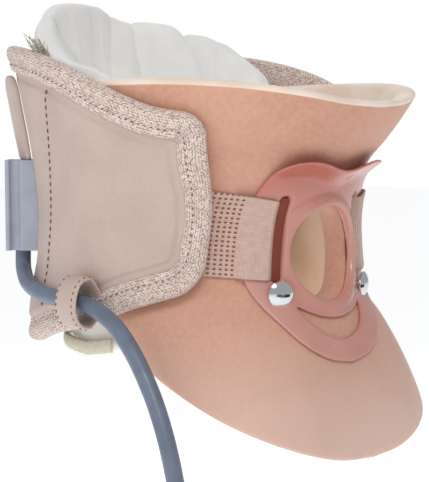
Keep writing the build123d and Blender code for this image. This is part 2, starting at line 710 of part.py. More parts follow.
# ---------------------------------------------------------------- hose keeper on the right wing
with BuildPart() as hose_keeper:
    with BuildSketch(Plane.XZ.offset(-KEEPER_Y - KEEPER_HALF)) as loop:
        with Locations(KEEPER_CENTRE):
            RectangleRounded(KEEPER_WIDE, KEEPER_TALL, KEEPER_CORNER)
            offset(amount=-KEEPER_THICK, mode=Mode.SUBTRACT)
    extrude(amount=2 * KEEPER_HALF)
    add(cover_in[-BINDING_THICK], mode=Mode.SUBTRACT)

finish_part(hose_keeper.part, "hose_keeper")

# ---------------------------------------------------------------- hand pump
pump_axis = Axis((PUMP_X, PUMP_Y, 0), (0, 0, 1))
pump_plane = Plane(origin=(PUMP_X, PUMP_Y, 0), x_dir=(1, 0, 0), z_dir=(0, -1, 0))
release_plane = Plane(origin=(PUMP_X, PUMP_Y, RELEASE_Z), x_dir=(1, 0, 0), z_dir=(0, -1, 0))
bulb_middle = (VALVE_LOW + BULB_LOW) / 2

with BuildPart() as pump_bulb:
    with BuildSketch(pump_plane):
        with BuildLine():
            top = Line((0, VALVE_LOW), (BULB_NECK_R, VALVE_LOW))
            neck = Line(top @ 1, (BULB_NECK_R, VALVE_LOW - BULB_NECK))
            belly = Spline(
                neck @ 1,
                (SHOULDER_R, bulb_middle + SHOULDER_RISE),
                (BULB_R, bulb_middle),
                (SHOULDER_R, bulb_middle - SHOULDER_RISE),
                (BULB_NECK_R, BULB_LOW + BULB_NECK),
                tangents=((0.3, -1), (-0.3, -1)),
            )
            foot = Line(belly @ 1, (BULB_NECK_R, BULB_LOW))
            Line(foot @ 1, (0, BULB_LOW))
            Line((0, BULB_LOW), (0, VALVE_LOW))
        make_face()
    revolve(axis=pump_axis)
    with BuildSketch(pump_plane):
        with Locations((0, bulb_middle)):
            Ellipse(BULB_R - BULB_WALL, CAVITY_HALF)
        with Locations((-BULB_R, bulb_middle)):
            Rectangle(2 * BULB_R, 3 * BULB_R, mode=Mode.SUBTRACT)
    revolve(axis=pump_axis, mode=Mode.SUBTRACT)
    with BuildSketch(Plane.XY.offset(BULB_LOW)):
        with Locations((PUMP_X, PUMP_Y)):
            Circle(SPIGOT_R)
    extrude(amount=VALVE_LOW - BULB_LOW, mode=Mode.SUBTRACT)

with BuildPart() as release_valve:
    with BuildSketch(Plane.XY.offset(VALVE_LOW)):
        with Locations((PUMP_X, PUMP_Y)):
            Circle(VALVE_R)
    extrude(amount=VALVE_HIGH - VALVE_LOW)
    with BuildSketch(Plane.XY.offset(VALVE_LOW - SPIGOT_LONG)):
        with Locations((PUMP_X, PUMP_Y)):
            Circle(SPIGOT_R)
    extrude(amount=SPIGOT_LONG)
    with BuildSketch(release_plane):
        Circle(BOSS_R)
    extrude(amount=BOSS_REACH)
    with BuildSketch(Plane.XY.offset(VALVE_LOW - SPIGOT_LONG)):
        with Locations((PUMP_X, PUMP_Y)):
            Circle(AIRWAY_R)
    extrude(amount=VALVE_HIGH - VALVE_LOW + SPIGOT_LONG - HOSE_SEAT, mode=Mode.SUBTRACT)
    with BuildSketch(release_plane.offset(NEEDLE_TIP - BALL_LIFT)):
        Circle(NEEDLE_R + NEEDLE_GAP)
    extrude(amount=BOSS_REACH - NEEDLE_TIP + BALL_LIFT, mode=Mode.SUBTRACT)

with BuildPart() as release_needle:
    with BuildSketch(release_plane.offset(NEEDLE_TIP)):
        Circle(NEEDLE_R)
    extrude(amount=KNOB_START + KNOB_LONG - KNOB_CAP - NEEDLE_TIP)
    chamfer(release_needle.edges().sort_by(Axis.Y)[-1], NEEDLE_R * 0.8)

with BuildPart() as release_knob:
    with BuildSketch(release_plane.offset(KNOB_START)):
        Circle(KNOB_R)
        with PolarLocations(KNOB_R, KNOB_RIBS):
            Circle(KNOB_RIB_R)
        Circle(NEEDLE_R + NEEDLE_GAP, mode=Mode.SUBTRACT)
    extrude(amount=KNOB_LONG - KNOB_CAP)
    with BuildSketch(release_plane.offset(KNOB_START + KNOB_LONG - KNOB_CAP)):
        Circle(KNOB_R)
    extrude(amount=KNOB_CAP)

with BuildPart() as inlet_valve:
    with BuildSketch(Plane.XY.offset(INLET_LOW)):
        with Locations((PUMP_X, PUMP_Y)):
            Circle(INLET_FLANGE_R)
    extrude(amount=BULB_LOW - INLET_LOW)
    with BuildSketch(Plane.XY.offset(BULB_LOW)):
        with Locations((PUMP_X, PUMP_Y)):
            Circle(SPIGOT_R)
    extrude(amount=SPIGOT_LONG)
    with BuildSketch(Plane.XY.offset(INLET_LOW)):
        with Locations((PUMP_X, PUMP_Y)):
            Circle(AIRWAY_R)
    extrude(amount=BULB_LOW - INLET_LOW + SPIGOT_LONG, mode=Mode.SUBTRACT)
    with BuildSketch(Plane.XY.offset(BULB_LOW)):
        with Locations((PUMP_X, PUMP_Y)):
            Circle(CHAMBER_R)
    extrude(amount=2 * BALL_R + BALL_LIFT + BALL_HEADROOM, mode=Mode.SUBTRACT)

with BuildPart() as inlet_ball:
    with Locations((PUMP_X, PUMP_Y, BULB_LOW + BALL_R + BALL_SEAT)):
        Sphere(BALL_R)

for piece, name in (
    (pump_bulb, "pump_bulb"),
    (release_valve, "release_valve"),
    (release_needle, "release_needle"),
    (release_knob, "release_knob"),
    (inlet_valve, "inlet_valve"),
    (inlet_ball, "inlet_ball"),
):
    finish_part(piece.part, name)
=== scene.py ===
import math
import random

import bmesh
import bpy
import numpy as np
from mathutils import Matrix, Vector
from mathutils.geometry import delaunay_2d_cdt


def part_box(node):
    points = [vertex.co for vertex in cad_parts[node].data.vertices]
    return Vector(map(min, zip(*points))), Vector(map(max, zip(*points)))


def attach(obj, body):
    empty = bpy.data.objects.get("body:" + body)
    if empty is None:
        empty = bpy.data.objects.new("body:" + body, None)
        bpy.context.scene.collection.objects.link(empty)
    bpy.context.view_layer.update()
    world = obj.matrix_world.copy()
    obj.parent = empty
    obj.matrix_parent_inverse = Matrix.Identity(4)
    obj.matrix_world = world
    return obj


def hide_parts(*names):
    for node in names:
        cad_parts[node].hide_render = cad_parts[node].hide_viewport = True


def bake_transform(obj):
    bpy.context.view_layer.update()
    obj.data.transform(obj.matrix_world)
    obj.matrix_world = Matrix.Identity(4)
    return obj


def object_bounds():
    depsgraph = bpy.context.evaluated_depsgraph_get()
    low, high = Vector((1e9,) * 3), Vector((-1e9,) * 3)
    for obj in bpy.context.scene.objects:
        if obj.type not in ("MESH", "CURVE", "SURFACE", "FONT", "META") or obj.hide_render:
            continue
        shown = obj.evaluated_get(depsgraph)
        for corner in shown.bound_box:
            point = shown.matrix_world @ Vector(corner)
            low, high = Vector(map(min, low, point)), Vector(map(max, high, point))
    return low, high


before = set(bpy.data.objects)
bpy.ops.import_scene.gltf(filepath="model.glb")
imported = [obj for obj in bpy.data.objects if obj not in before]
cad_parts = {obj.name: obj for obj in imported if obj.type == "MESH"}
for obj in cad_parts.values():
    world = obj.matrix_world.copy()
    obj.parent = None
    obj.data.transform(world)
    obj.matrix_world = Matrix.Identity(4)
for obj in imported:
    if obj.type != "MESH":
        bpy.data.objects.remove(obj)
cad_low, cad_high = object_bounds()

# Shapes are worked out in millimetres, in the frame of the CAD model, and turned into metres by build().
# +Z up, -Y the wearer's front, -X the wearer's right. An angle round the collar is 0 at the front
# and pi at the back; side is -1 for the wearer's right and +1 for the left.
MM = 0.001

# Horizontal ovals of the soft walls: (height, half width, front y, back y), as in the CAD model.
# The foam's also have an exponent: 2 is an ellipse, and a larger one is squarer at its corners.
FOAM_OVALS = [
    (-92, 84.5, -114.0, 46.0, 3.1), (-72, 82.5, -110.5, 50.5, 3.1), (-59, 81.3, -107.0, 54.5, 3.1),
    (-45, 79.0, -101.5, 59.0, 3.0), (-33, 76.3, -95.5, 64.5, 2.9), (-20, 72.7, -90.0, 72.0, 2.6),
    (-8, 70.2, -84.0, 80.5, 2.2), (15, 69.5, -80.0, 80.0, 2.0), (45, 70.5, -84.5, 83.0, 2.0),
    (54, 71.7, -90.0, 85.0, 2.0), (63, 73.2, -99.0, 86.0, 2.05), (75, 76.0, -109.0, 85.5, 2.1),
    (84, 78.5, -115.5, 84.0, 2.1), (100, 81.0, -123.0, 82.0, 2.1),
]
COVER_OVALS = [
    (-42, 78.5, -92.5, 84.5), (10, 76.5, -88.0, 79.0), (30, 76.5, -87.0, 77.0),
    (45, 77.5, -90.4, 79.0), (60, 79.2, -99.0, 84.0), (80, 82.6, -108.0, 90.0),
    (112, 87.0, -119.0, 99.0),
]
# The foam's rims: (angle in degrees from the front, height).
TOP_RIM = [(0, 80.3), (15, 81.6), (30, 85.0), (45, 88.0), (60, 89.7), (75, 89.9), (90, 89.3), (120, 88.5)]
BOTTOM_RIM = [
    (0, -76.6), (15, -74.6), (30, -68.0), (45, -57.0), (60, -41.8), (75, -23.5), (90, -8.0), (120, 6.0),
]
FOAM_THICK = 7.5
TRACHEA_Z, TRACHEA_RX, TRACHEA_RZ = 13.0, 20.0, 20.8
PLATE_GAP, PLATE_THICK = 0.3, 2.2
SEAM_Y = 22.0
SKIN, LINING_DEPTH = 1.2, 4.3

# Edges of the cover seen from the side: (y, height) along the top and the foot, (height, y) down the front.
# The right wing reaches further forward than the left one.
COVER_TOP = [(-69.5, 75), (-52, 77), (-29, 85), (-10, 93), (22, 102), (60, 107), (110, 107)]
COVER_FOOT = [(-61, -1), (-48, -5.6), (-29, -12), (-12, -19), (22, -27), (38, -32), (110, -32)]
COVER_FRONTS = {
    -1: [(-1, -61), (25, -63), (55, -66), (75, -69.5)],
    1: [(-12, -30), (25, -31), (52, -34), (79, -43)],
}

# The hose's route in metres, from the connector to the valve: the CAD model's points, moved a little.
HOSE_ROUTE = [
    (-0.0593, 0.0596, 0.0095), (-0.0602, 0.0590, 0.0020), (-0.0638, 0.0532, -0.0020),
    (-0.0700, 0.0435, -0.0045), (-0.0756, 0.0315, -0.0066), (-0.0796, 0.0180, -0.0080),
    (-0.0820, 0.0040, -0.0078), (-0.0836, -0.0120, -0.0082), (-0.0850, -0.0290, -0.0115),
    (-0.0858, -0.0430, -0.0205), (-0.0866, -0.0550, -0.0335), (-0.0876, -0.0660, -0.0495),
    (-0.0888, -0.0755, -0.0705), (-0.0896, -0.0825, -0.0975), (-0.0901, -0.0870, -0.1310),
    (-0.0900, -0.0885, -0.1680), (-0.0900, -0.0885, -0.2050),
]
HOSE_D = 0.0075

# The straps: where they leave the slots and reach to, their edges' heights there, and their punched holes.
STRAP_START_X, STRAP_END_X = 27, 66.0
STRAP_FOOT, STRAP_TOP = (2.2, 6.0), (37.0, 44.5)
HOLE_START, HOLE_MARGIN, HOLE_PITCH = 14.4, 1.4, (1.8, 2.05)

KEEPER_Y = -10.5
CAMERA_AZIMUTH, CAMERA_ELEVATION, CAMERA_DISTANCE = math.radians(-45), math.radians(6), 0.7
CAMERA_LENS, CAMERA_SHIFT = 107.2, (18.5 / 482, 27 / 482)


# ------------------------------------------------------------------ camera, light and floor
def aim(made, direction, axis="-Z"):
    """Turns an object so that one of its axes looks along a direction."""
    made.rotation_mode = "QUATERNION"
    made.rotation_quaternion = direction.to_track_quat(axis, "Y")


def make_camera():
    back = Vector((
        math.sin(CAMERA_AZIMUTH) * math.cos(CAMERA_ELEVATION),
        -math.cos(CAMERA_AZIMUTH) * math.cos(CAMERA_ELEVATION),
        math.sin(CAMERA_ELEVATION),
    ))
    data = bpy.data.cameras.new("camera")
    data.lens, data.sensor_width = CAMERA_LENS, 36.0
    data.shift_x, data.shift_y = CAMERA_SHIFT
    data.clip_start, data.clip_end = 0.01, 50.0
    camera = bpy.data.objects.new("camera", data)
    camera.location = back * CAMERA_DISTANCE
    aim(camera, -back)
    bpy.context.collection.objects.link(camera)
    bpy.context.scene.camera = camera


def area_light(name, place, size, power, colour=(1, 1, 1)):
    data = bpy.data.lights.new(name, "AREA")
    data.shape, data.size, data.energy, data.color = "DISK", size, power, colour
    light = bpy.data.objects.new(name, data)
    light.location = place
    aim(light, -Vector(place))
    bpy.context.collection.objects.link(light)


def make_studio():
    world = bpy.data.worlds.new("studio")
    world.use_nodes = True
    nodes, links = world.node_tree.nodes, world.node_tree.links
    lighting = nodes["Background"]
    lighting.inputs["Color"].default_value = (0.97, 0.98, 1.0, 1)
    lighting.inputs["Strength"].default_value = 0.48
    backdrop = nodes.new("ShaderNodeBackground")
    backdrop.inputs["Color"].default_value = (1.0, 1.0, 1.0, 1)
    rays, either = nodes.new("ShaderNodeLightPath"), nodes.new("ShaderNodeMixShader")
    links.new(rays.outputs["Is Camera Ray"], either.inputs["Fac"])
    links.new(lighting.outputs["Background"], either.inputs[1])
    links.new(backdrop.outputs["Background"], either.inputs[2])
    links.new(either.outputs["Shader"], nodes["World Output"].inputs["Surface"])
    bpy.context.scene.world = world
    area_light("key", (-0.75, -0.75, 0.95), 0.5, 6.0, (1.0, 0.98, 0.96))
    area_light("fill", (-1.1, 0.1, 0.35), 0.9, 1.5, (0.97, 0.98, 1.0))
    area_light("rim", (0.7, 0.5, 0.8), 0.6, 2.5)
    bpy.context.scene.view_settings.view_transform = "Standard"

    floor_height = cad_low.z - 0.001
    bpy.ops.mesh.primitive_plane_add(size=12, location=(0, 0, floor_height))
    floor = bpy.context.object
    floor.name = "floor"
    floor.data.materials.append(Surface(
        "floor", (0.93, 0.93, 0.93, 1), 0.9, Emission_Color=(1, 1, 1, 1), Emission_Strength=0.52).material)
    dark_card((0.15, -1.0, -0.24), (1.7, 0.34))


def dark_card(place, size):
    """A dark panel beside the camera, for the bright rivets to reflect."""
    bpy.ops.mesh.primitive_plane_add(size=1, location=place)
    card = bpy.context.object
    card.name = "reflected_card"
    card.scale = (*size, 1)
    aim(card, Vector(place), "Z")
    card.data.materials.append(Surface("card", (0.02, 0.02, 0.025, 1), 0.5).material)
    card.visible_camera = False


# ------------------------------------------------------------------ materials
def linear(red, green, blue):
    """A colour given as 0 to 255 screen values, as the linear values that a shader takes."""
    screen = [v / 255 for v in (red, green, blue)]
    return (*[v / 12.92 if v <= 10 / 255 else ((v + 0.055) / 1.055) ** 2.4 for v in screen], 1)


class Surface:
    """A Principled material with helpers for the procedural nodes that most surfaces here share."""

    def __init__(self, name, colour, rough, **sockets):
        self.material = bpy.data.materials.new(name)
        self.material.use_nodes = True
        self.tree = self.material.node_tree
        self.shader = self.tree.nodes["Principled BSDF"]
        self.colour = colour
        self.shader.inputs["Base Color"].default_value = colour
        self.shader.inputs["Roughness"].default_value = rough
        for socket, value in sockets.items():
            self.shader.inputs[socket.replace("_", " ")].default_value = value
        self.normal = None

    def node(self, kind, **settings):
        made = self.tree.nodes.new(kind)
        for key, value in settings.items():
            setattr(made, key, value)
        return made

    def link(self, output, target):
        self.tree.links.new(output, target)

    def coords(self, use_uv=False):
        return self.node("ShaderNodeTexCoord").outputs["UV" if use_uv else "Object"]

    def mottle(self, scale, low=0.3, high=0.7, detail=3.0, use_uv=False):
        """Noise whose middle values are spread over 0 to 1."""
        return self.remap(self.noise(scale, detail, use_uv=use_uv), low, high)

    def noise(self, scale, detail=3.0, rough=0.55, use_uv=False, stretch=None):
        made = self.node("ShaderNodeTexNoise")
        made.inputs["Scale"].default_value = scale
        made.inputs["Detail"].default_value = detail
        made.inputs["Roughness"].default_value = rough
        source = self.coords(use_uv)
        if stretch:
            mapping = self.node("ShaderNodeMapping")
            mapping.inputs["Scale"].default_value = stretch
            self.link(source, mapping.inputs["Vector"])
            source = mapping.outputs["Vector"]
        self.link(source, made.inputs["Vector"])
        return made.outputs["Fac"]

    def maths(self, operation, first, second=0.0, third=None):
        made = self.node("ShaderNodeMath", operation=operation)
        for socket, value in zip(made.inputs, (first, second, third)):
            if isinstance(value, (int, float)):
                socket.default_value = value
            elif value is not None:
                self.link(value, socket)
        return made.outputs[0]

    def remap(self, value, low, high, to_low=0.0, to_high=1.0):
        made = self.node("ShaderNodeMapRange")
        made.clamp = True
        made.interpolation_type = "SMOOTHSTEP"
        for socket, number in zip(made.inputs[1:5], (low, high, to_low, to_high)):
            socket.default_value = number
        self.link(value, made.inputs[0])
        return made.outputs[0]

    def mix(self, factor, first, second):
        made = self.node("ShaderNodeMix", data_type="RGBA")
        for socket, value in ((made.inputs[0], factor), (made.inputs[6], first), (made.inputs[7], second)):
            if isinstance(value, (tuple, float)):
                socket.default_value = value
            else:
                self.link(value, socket)
        return made.outputs[2]

    def paint(self, colour):
        self.link(colour, self.shader.inputs["Base Color"])

    def height(self, low, high):
        """0 below one height of the object, 1 above another."""
        parts = self.node("ShaderNodeSeparateXYZ")
        self.link(self.coords(), parts.inputs[0])
        return self.remap(parts.outputs[2], low, high)

    def roughness(self, value):
        self.link(value, self.shader.inputs["Roughness"])

    def bump(self, height, distance, strength=1.0):
        made = self.node("ShaderNodeBump")
        made.inputs["Strength"].default_value = strength
        made.inputs["Distance"].default_value = distance
        self.link(height, made.inputs["Height"])
        if self.normal is not None:
            self.link(self.normal, made.inputs["Normal"])
        self.normal = made.outputs["Normal"]
        self.link(self.normal, self.shader.inputs["Normal"])

    def split_uv(self):
        parts = self.node("ShaderNodeSeparateXYZ")
        self.link(self.coords(use_uv=True), parts.inputs[0])
        return parts.outputs[0], parts.outputs[1]


def foam_surface():
    s = Surface("moulded_foam", linear(214, 166, 143), 0.6, Subsurface_Weight=0.18, Subsurface_Scale=0.005,
                Subsurface_Radius=(1.0, 0.45, 0.3), Sheen_Weight=0.12, Sheen_Roughness=0.5)
    broad, fine = s.mottle(22, 0.35, 0.65, 2.0), s.mottle(420, detail=2.0)
    upper = s.mix(broad, linear(203, 148, 123), linear(210, 157, 133))
    lower = s.mix(broad, linear(219, 186, 171), linear(226, 194, 180))
    colour = s.mix(s.height(-0.075, 0.0), lower, upper)
    s.paint(s.mix(s.maths("MULTIPLY", fine, 0.22), colour, linear(226, 190, 172)))
    s.bump(s.noise(1500, 2.0), 0.00010, 0.5)
    s.bump(s.noise(160, 2.0), 0.00025, 0.25)
    return s.material


def raw_foam_surface(name, dark, light):
    """The collar's cut rim and its inside: open-celled foam without the coloured skin, in painted-highlight
    and painted-shade copies.
    """
    s = Surface(name, linear(*light), 0.75, Subsurface_Weight=0.2, Subsurface_Scale=0.004, Sheen_Weight=0.15)
    s.paint(s.mix(s.mottle(30, 0.35, 0.65, 2.0), linear(*dark), linear(*light)))
    s.bump(s.noise(900, 2.0), 0.00012, 0.5)
    return s.material


def plate_surface():
    s = Surface("plate_plastic", linear(196, 136, 126), 0.26, Subsurface_Weight=0.12, Subsurface_Scale=0.003,
                Subsurface_Radius=(1.0, 0.4, 0.3), Coat_Weight=0.25, Coat_Roughness=0.12)
    plain = s.mix(s.mottle(30, 0.35, 0.65, 2.0), linear(200, 142, 131), linear(207, 152, 141))
    # Painted shade: the plate's top, under the curled lip, is mixed towards a deep red.
    s.paint(s.mix(s.height(0.028, 0.049), plain, linear(190, 112, 98)))
    s.roughness(s.remap(s.noise(90, 3.0), 0.3, 0.7, 0.23, 0.28))
    s.bump(s.noise(70, 2.0), 0.00006, 0.2)
    return s.material


def leather_surface():
    s = Surface("leatherette", linear(199, 178, 168), 0.5, Sheen_Weight=0.1)
    base = s.mix(s.mottle(26), linear(192, 171, 161), linear(204, 182, 172))
    cells = s.node("ShaderNodeTexVoronoi", feature="DISTANCE_TO_EDGE")
    cells.inputs["Scale"].default_value = 900
    s.link(s.coords(), cells.inputs["Vector"])
    grain = s.remap(cells.outputs["Distance"], 0.0, 0.18)
    s.paint(s.mix(s.maths("MULTIPLY_ADD", grain, -0.25, 0.25), base, linear(171, 150, 140)))
    s.roughness(s.remap(s.noise(70, 3.0), 0.3, 0.7, 0.42, 0.6))
    s.bump(grain, 0.00012, 0.45)
    s.bump(s.noise(120, 3.0), 0.0003, 0.25)
    return s.material


def binding_surface():
    """Knitted tape: pebbly stitches in slanted rows, pale on top and brown-pink between."""
    s = Surface("edge_tape", linear(214, 190, 178), 0.85, Sheen_Weight=0.2)
    along, across = s.split_uv()
    joined = s.node("ShaderNodeCombineXYZ")
    slant = s.maths("MULTIPLY", s.maths("PINGPONG", across, 3.4), 0.75)
    s.link(s.maths("MULTIPLY", s.maths("ADD", along, slant), 0.72), joined.inputs[0])
    s.link(s.maths("MULTIPLY", across, 0.86), joined.inputs[1])
    cells = s.node("ShaderNodeTexVoronoi", feature="F1")
    cells.inputs["Scale"].default_value = 1.0
    cells.inputs["Randomness"].default_value = 0.4
    s.link(joined.outputs[0], cells.inputs["Vector"])
    pebble = s.remap(cells.outputs["Distance"], 0.36, 0.74, 1.0, 0.0)
    light = s.mix(s.mottle(0.22, use_uv=True), linear(226, 207, 196), linear(238, 223, 214))
    s.paint(s.mix(pebble, linear(176, 140, 126), light))
    s.bump(pebble, 0.0005, 0.8)
    s.bump(s.noise(6.0, 2.0, use_uv=True), 0.0001, 0.4)
    return s.material


def strap_surface():
    """Fine upright-ribbed knit; the holes are in the mesh, and are darkened here on the same grid as painted
    shade.
    """
    s = Surface("strap_knit", linear(222, 188, 172), 0.8, Sheen_Weight=0.2)
    along, across = s.split_uv()
    rib_pitch, wave_pitch = 0.42, 0.9
    rib = s.maths("PINGPONG", s.maths("MULTIPLY", along, 1 / rib_pitch), 0.5)
    slant = s.maths("ADD", s.maths("MULTIPLY", across, 1 / wave_pitch), s.maths("MULTIPLY", rib, 0.7))
    wave = s.maths("PINGPONG", slant, 0.5)
    knit = s.maths("ADD", s.maths("MULTIPLY", rib, 0.55), s.maths("MULTIPLY", wave, 0.45))
    cloth = s.remap(knit, 0.08, 0.4)
    base = s.mix(s.mottle(0.35, use_uv=True), linear(214, 184, 170), linear(230, 206, 194))
    cloth_colour = s.mix(cloth, linear(190, 154, 140), base)
    squares = []
    for value, first, pitch in ((along, HOLE_START, HOLE_PITCH[0]), (across, HOLE_MARGIN, HOLE_PITCH[1])):
        pitches = s.maths("MULTIPLY", s.maths("SUBTRACT", value, first), 1 / pitch)
        aside = s.maths("MULTIPLY", s.maths("PINGPONG", pitches, 0.5), pitch)
        squares.append(s.maths("MULTIPLY", aside, aside))
    radius = s.maths("SQRT", s.maths("ADD", *squares))
    in_rows = s.remap(along, HOLE_START - 0.85, HOLE_START - 0.8)
    punched = s.maths("MULTIPLY", s.remap(radius, 0.36, 0.6, 1.0, 0.0), in_rows)
    # Painted shade: the punched holes are coloured dark red-brown.
    s.paint(s.mix(punched, cloth_colour, linear(140, 84, 66)))
    s.bump(cloth, 0.00022, 0.6)
    return s.material


def cushion_surface():
    s = Surface("cushion_cloth", linear(232, 232, 230), 0.72, Sheen_Weight=0.2,
                Subsurface_Weight=0.15, Subsurface_Scale=0.004)
    s.paint(s.mix(s.mottle(30), linear(232, 233, 232), linear(243, 243, 241)))
    s.bump(s.noise(34, 3.0, 0.5, stretch=(1.0, 1.0, 0.3)), 0.004, 0.45)
    s.bump(s.noise(110, 3.0, 0.5), 0.0005, 0.35)
    weave = s.node("ShaderNodeTexVoronoi", feature="F1", distance="CHEBYCHEV")
    weave.inputs["Scale"].default_value = 2200
    s.link(s.coords(), weave.inputs["Vector"])
    s.bump(weave.outputs["Distance"], 0.00008, 0.4)
    return s.material


def metal_surface():
    s = Surface("plated_metal", (0.66, 0.67, 0.69, 1), 0.1, Metallic=1.0)
    s.roughness(s.remap(s.noise(260, 3.0), 0.35, 0.7, 0.06, 0.18))
    s.bump(s.noise(180, 2.0), 0.0001, 0.2)
    return s.material


def thread_surface(name, colour):
    s = Surface(name, linear(*colour), 0.8)
    s.paint(s.mix(s.noise(800, 2.0), linear(*[v * 0.8 for v in colour]), linear(*colour)))
    s.bump(s.noise(3000, 2.0), 0.00005, 0.5)
    return s.material


def plain_surface(name, dark, light, mottle, rough, grain, **sockets):
    """An even material: a mottled colour, a roughness or a range of it with a scale, and a fine grain."""
    middle = [(a + b) / 2 for a, b in zip(dark, light)]
    s = Surface(name, linear(*middle), rough[0], **sockets)
    s.paint(s.mix(s.mottle(mottle), linear(*dark), linear(*light)))
    if len(rough) > 1:
        s.roughness(s.remap(s.noise(rough[2], 3.0), 0.3, 0.7, rough[0], rough[1]))
    scale, detail, depth, strength = grain
    s.bump(s.noise(scale, detail), depth, strength)
    return s.material


# ------------------------------------------------------------------ geometry helpers
def smooth_rows(rows):
    """A smooth curve through rows of (position, value, value...), as a function of position."""
    rows = np.array(rows, float)
    places, values = rows[:, 0], rows[:, 1:]
    slopes = np.gradient(values, places, axis=0)

    def at(place):
        place = np.clip(place, places[0], places[-1])
        i = np.clip(np.searchsorted(places, place) - 1, 0, len(places) - 2)
        span = (places[i + 1] - places[i])[..., None]
        t = (place - places[i])[..., None] / span
        start, end = values[i], values[i + 1]
        rise, fall = slopes[i] * span, slopes[i + 1] * span
        return (
            start * (2 * t**3 - 3 * t**2 + 1) + rise * (t**3 - 2 * t**2 + t)
            + end * (3 * t**2 - 2 * t**3) + fall * (t**3 - t**2)
        )

    return at


foam_oval = smooth_rows(FOAM_OVALS)
cover_oval = smooth_rows(COVER_OVALS)
cover_top = smooth_rows(COVER_TOP)
cover_foot = smooth_rows(COVER_FOOT)
cover_fronts = {side: smooth_rows(rows) for side, rows in COVER_FRONTS.items()}


def on_wall(oval, angle, height, off, side):
    """Points of a wall at an angle round the collar and a height, off millimetres outside it."""
    angle, height, off = np.broadcast_arrays(np.asarray(angle, float), height, off)
    half_width, front, back = np.moveaxis(oval(height), -1, 0)
    depth, centre = (back - front) / 2, (back + front) / 2
    x = side * (half_width + off) * np.sin(angle)
    y = centre - (depth + off) * np.cos(angle)
    return np.stack([x, y, height], -1)


def angle_at_y(oval, y, height):
    """The angle at which the wall at that height has that y."""
    half_width, front, back = np.moveaxis(oval(np.asarray(height, float)), -1, 0)
    return np.arccos(np.clip(((back + front) / 2 - y) / ((back - front) / 2), -1, 1))


def on_foam(angle, height, off):
    """Points of the foam's wall, off millimetres outside its outer face; the widest place is at y = 0."""
    angle, height, off = np.broadcast_arrays(np.asarray(angle, float), height, off)
    half_width, front, back, power = np.moveaxis(foam_oval(height), -1, 0)
    across, along = np.sin(angle), -np.cos(angle)
    power = np.where(along < 0, power, 2.0)
    reach = (np.abs(across) ** power + np.abs(along) ** power) ** (-1 / power)
    depth = np.where(along < 0, -front, back) + off
    return np.stack([(half_width + off) * across * reach, depth * along * reach, height], -1)


def build(name, points, faces, surface, uv=None):
    """A mesh object from points in millimetres; uv gives one pair per point."""
    mesh = bpy.data.meshes.new(name)
    mesh.from_pydata((np.asarray(points) * MM).tolist(), [], faces)
    mesh.update()
    if uv is not None:
        layer = mesh.uv_layers.new(name="UVMap")
        corners = np.empty(len(mesh.loops), int)
        mesh.loops.foreach_get("vertex_index", corners)
        layer.data.foreach_set("uv", np.asarray(uv, float)[corners].ravel())
    mesh.polygons.foreach_set("use_smooth", [True] * len(mesh.polygons))
    mesh.materials.append(surface)
    made = bpy.data.objects.new(name, mesh)
    bpy.context.collection.objects.link(made)
    return made


def grid_faces(rows, columns, close_rows=False, close_columns=False, flip=False, start=0):
    """Quads of a grid of rows by columns points, numbered row by row."""
    faces = []
    for i in range(rows if close_rows else rows - 1):
        for j in range(columns if close_columns else columns - 1):
            a = start + i * columns + j
            b = start + i * columns + (j + 1) % columns
            c = start + ((i + 1) % rows) * columns + (j + 1) % columns
            d = start + ((i + 1) % rows) * columns + j
            faces.append((a, d, c, b) if flip else (a, b, c, d))
    return faces


def closed_rings(name, rings, surface, uv=None):
    """A closed piece from a row of rings of points, with a flat face at each end."""
    count, around = rings.shape[:2]
    faces = grid_faces(count, around, close_columns=True)
    faces += [tuple(range(around)), tuple(range((count - 1) * around, count * around))]
    made = build(name, rings.reshape(-1, 3), faces, surface, uv)
    face_outwards(made)
    return made


def shell(name, outer, inner, surface, uv=None):
    """A closed sheet between two grids of points of the same shape."""
    rows, columns = outer.shape[:2]
    count = rows * columns
    points = np.concatenate([outer.reshape(-1, 3), inner.reshape(-1, 3)])
    faces = grid_faces(rows, columns) + grid_faces(rows, columns, flip=True, start=count)
    border = list(range(columns)) + [i * columns + columns - 1 for i in range(1, rows)]
    border += [(rows - 1) * columns + j for j in range(columns - 2, -1, -1)]
    border += [i * columns for i in range(rows - 2, 0, -1)]
    faces += [(b, a, a + count, b + count) for a, b in zip(border, border[1:] + border[:1])]
    both = None if uv is None else np.concatenate([uv.reshape(-1, 2)] * 2)
    made = build(name, points, faces, surface, both)
    face_outwards(made)
    return made


def face_outwards(made):
    """Turns a closed mesh's faces so that they all look outwards."""
    work = bmesh.new()
    work.from_mesh(made.data)
    bmesh.ops.recalc_face_normals(work, faces=work.faces)
    work.to_mesh(made.data)
    work.free()


def apply_modifiers(made):
    """Puts the result of an object's modifiers into its own mesh."""
    evaluated = made.evaluated_get(bpy.context.evaluated_depsgraph_get())
    mesh = bpy.data.meshes.new_from_object(evaluated)
    old = made.data
    made.modifiers.clear()
    made.data = mesh
    bpy.data.meshes.remove(old)


def cut(made, cutter):
    """Takes a closed cutter out of a closed mesh."""
    change = made.modifiers.new("cut", "BOOLEAN")
    change.operation, change.object, change.solver = "DIFFERENCE", cutter, "EXACT"
    apply_modifiers(made)
    bpy.data.objects.remove(cutter)


def soften(made, voxel, passes):
    """Remeshes a closed mesh into small even faces and rounds every edge a little."""
    remesh = made.modifiers.new("even", "REMESH")
    remesh.mode, remesh.voxel_size, remesh.use_smooth_shade = "VOXEL", voxel * MM, True
    smooth = made.modifiers.new("round", "SMOOTH")
    smooth.factor, smooth.iterations = 0.5, passes
    apply_modifiers(made)
    made.data.polygons.foreach_set("use_smooth", [True] * len(made.data.polygons))


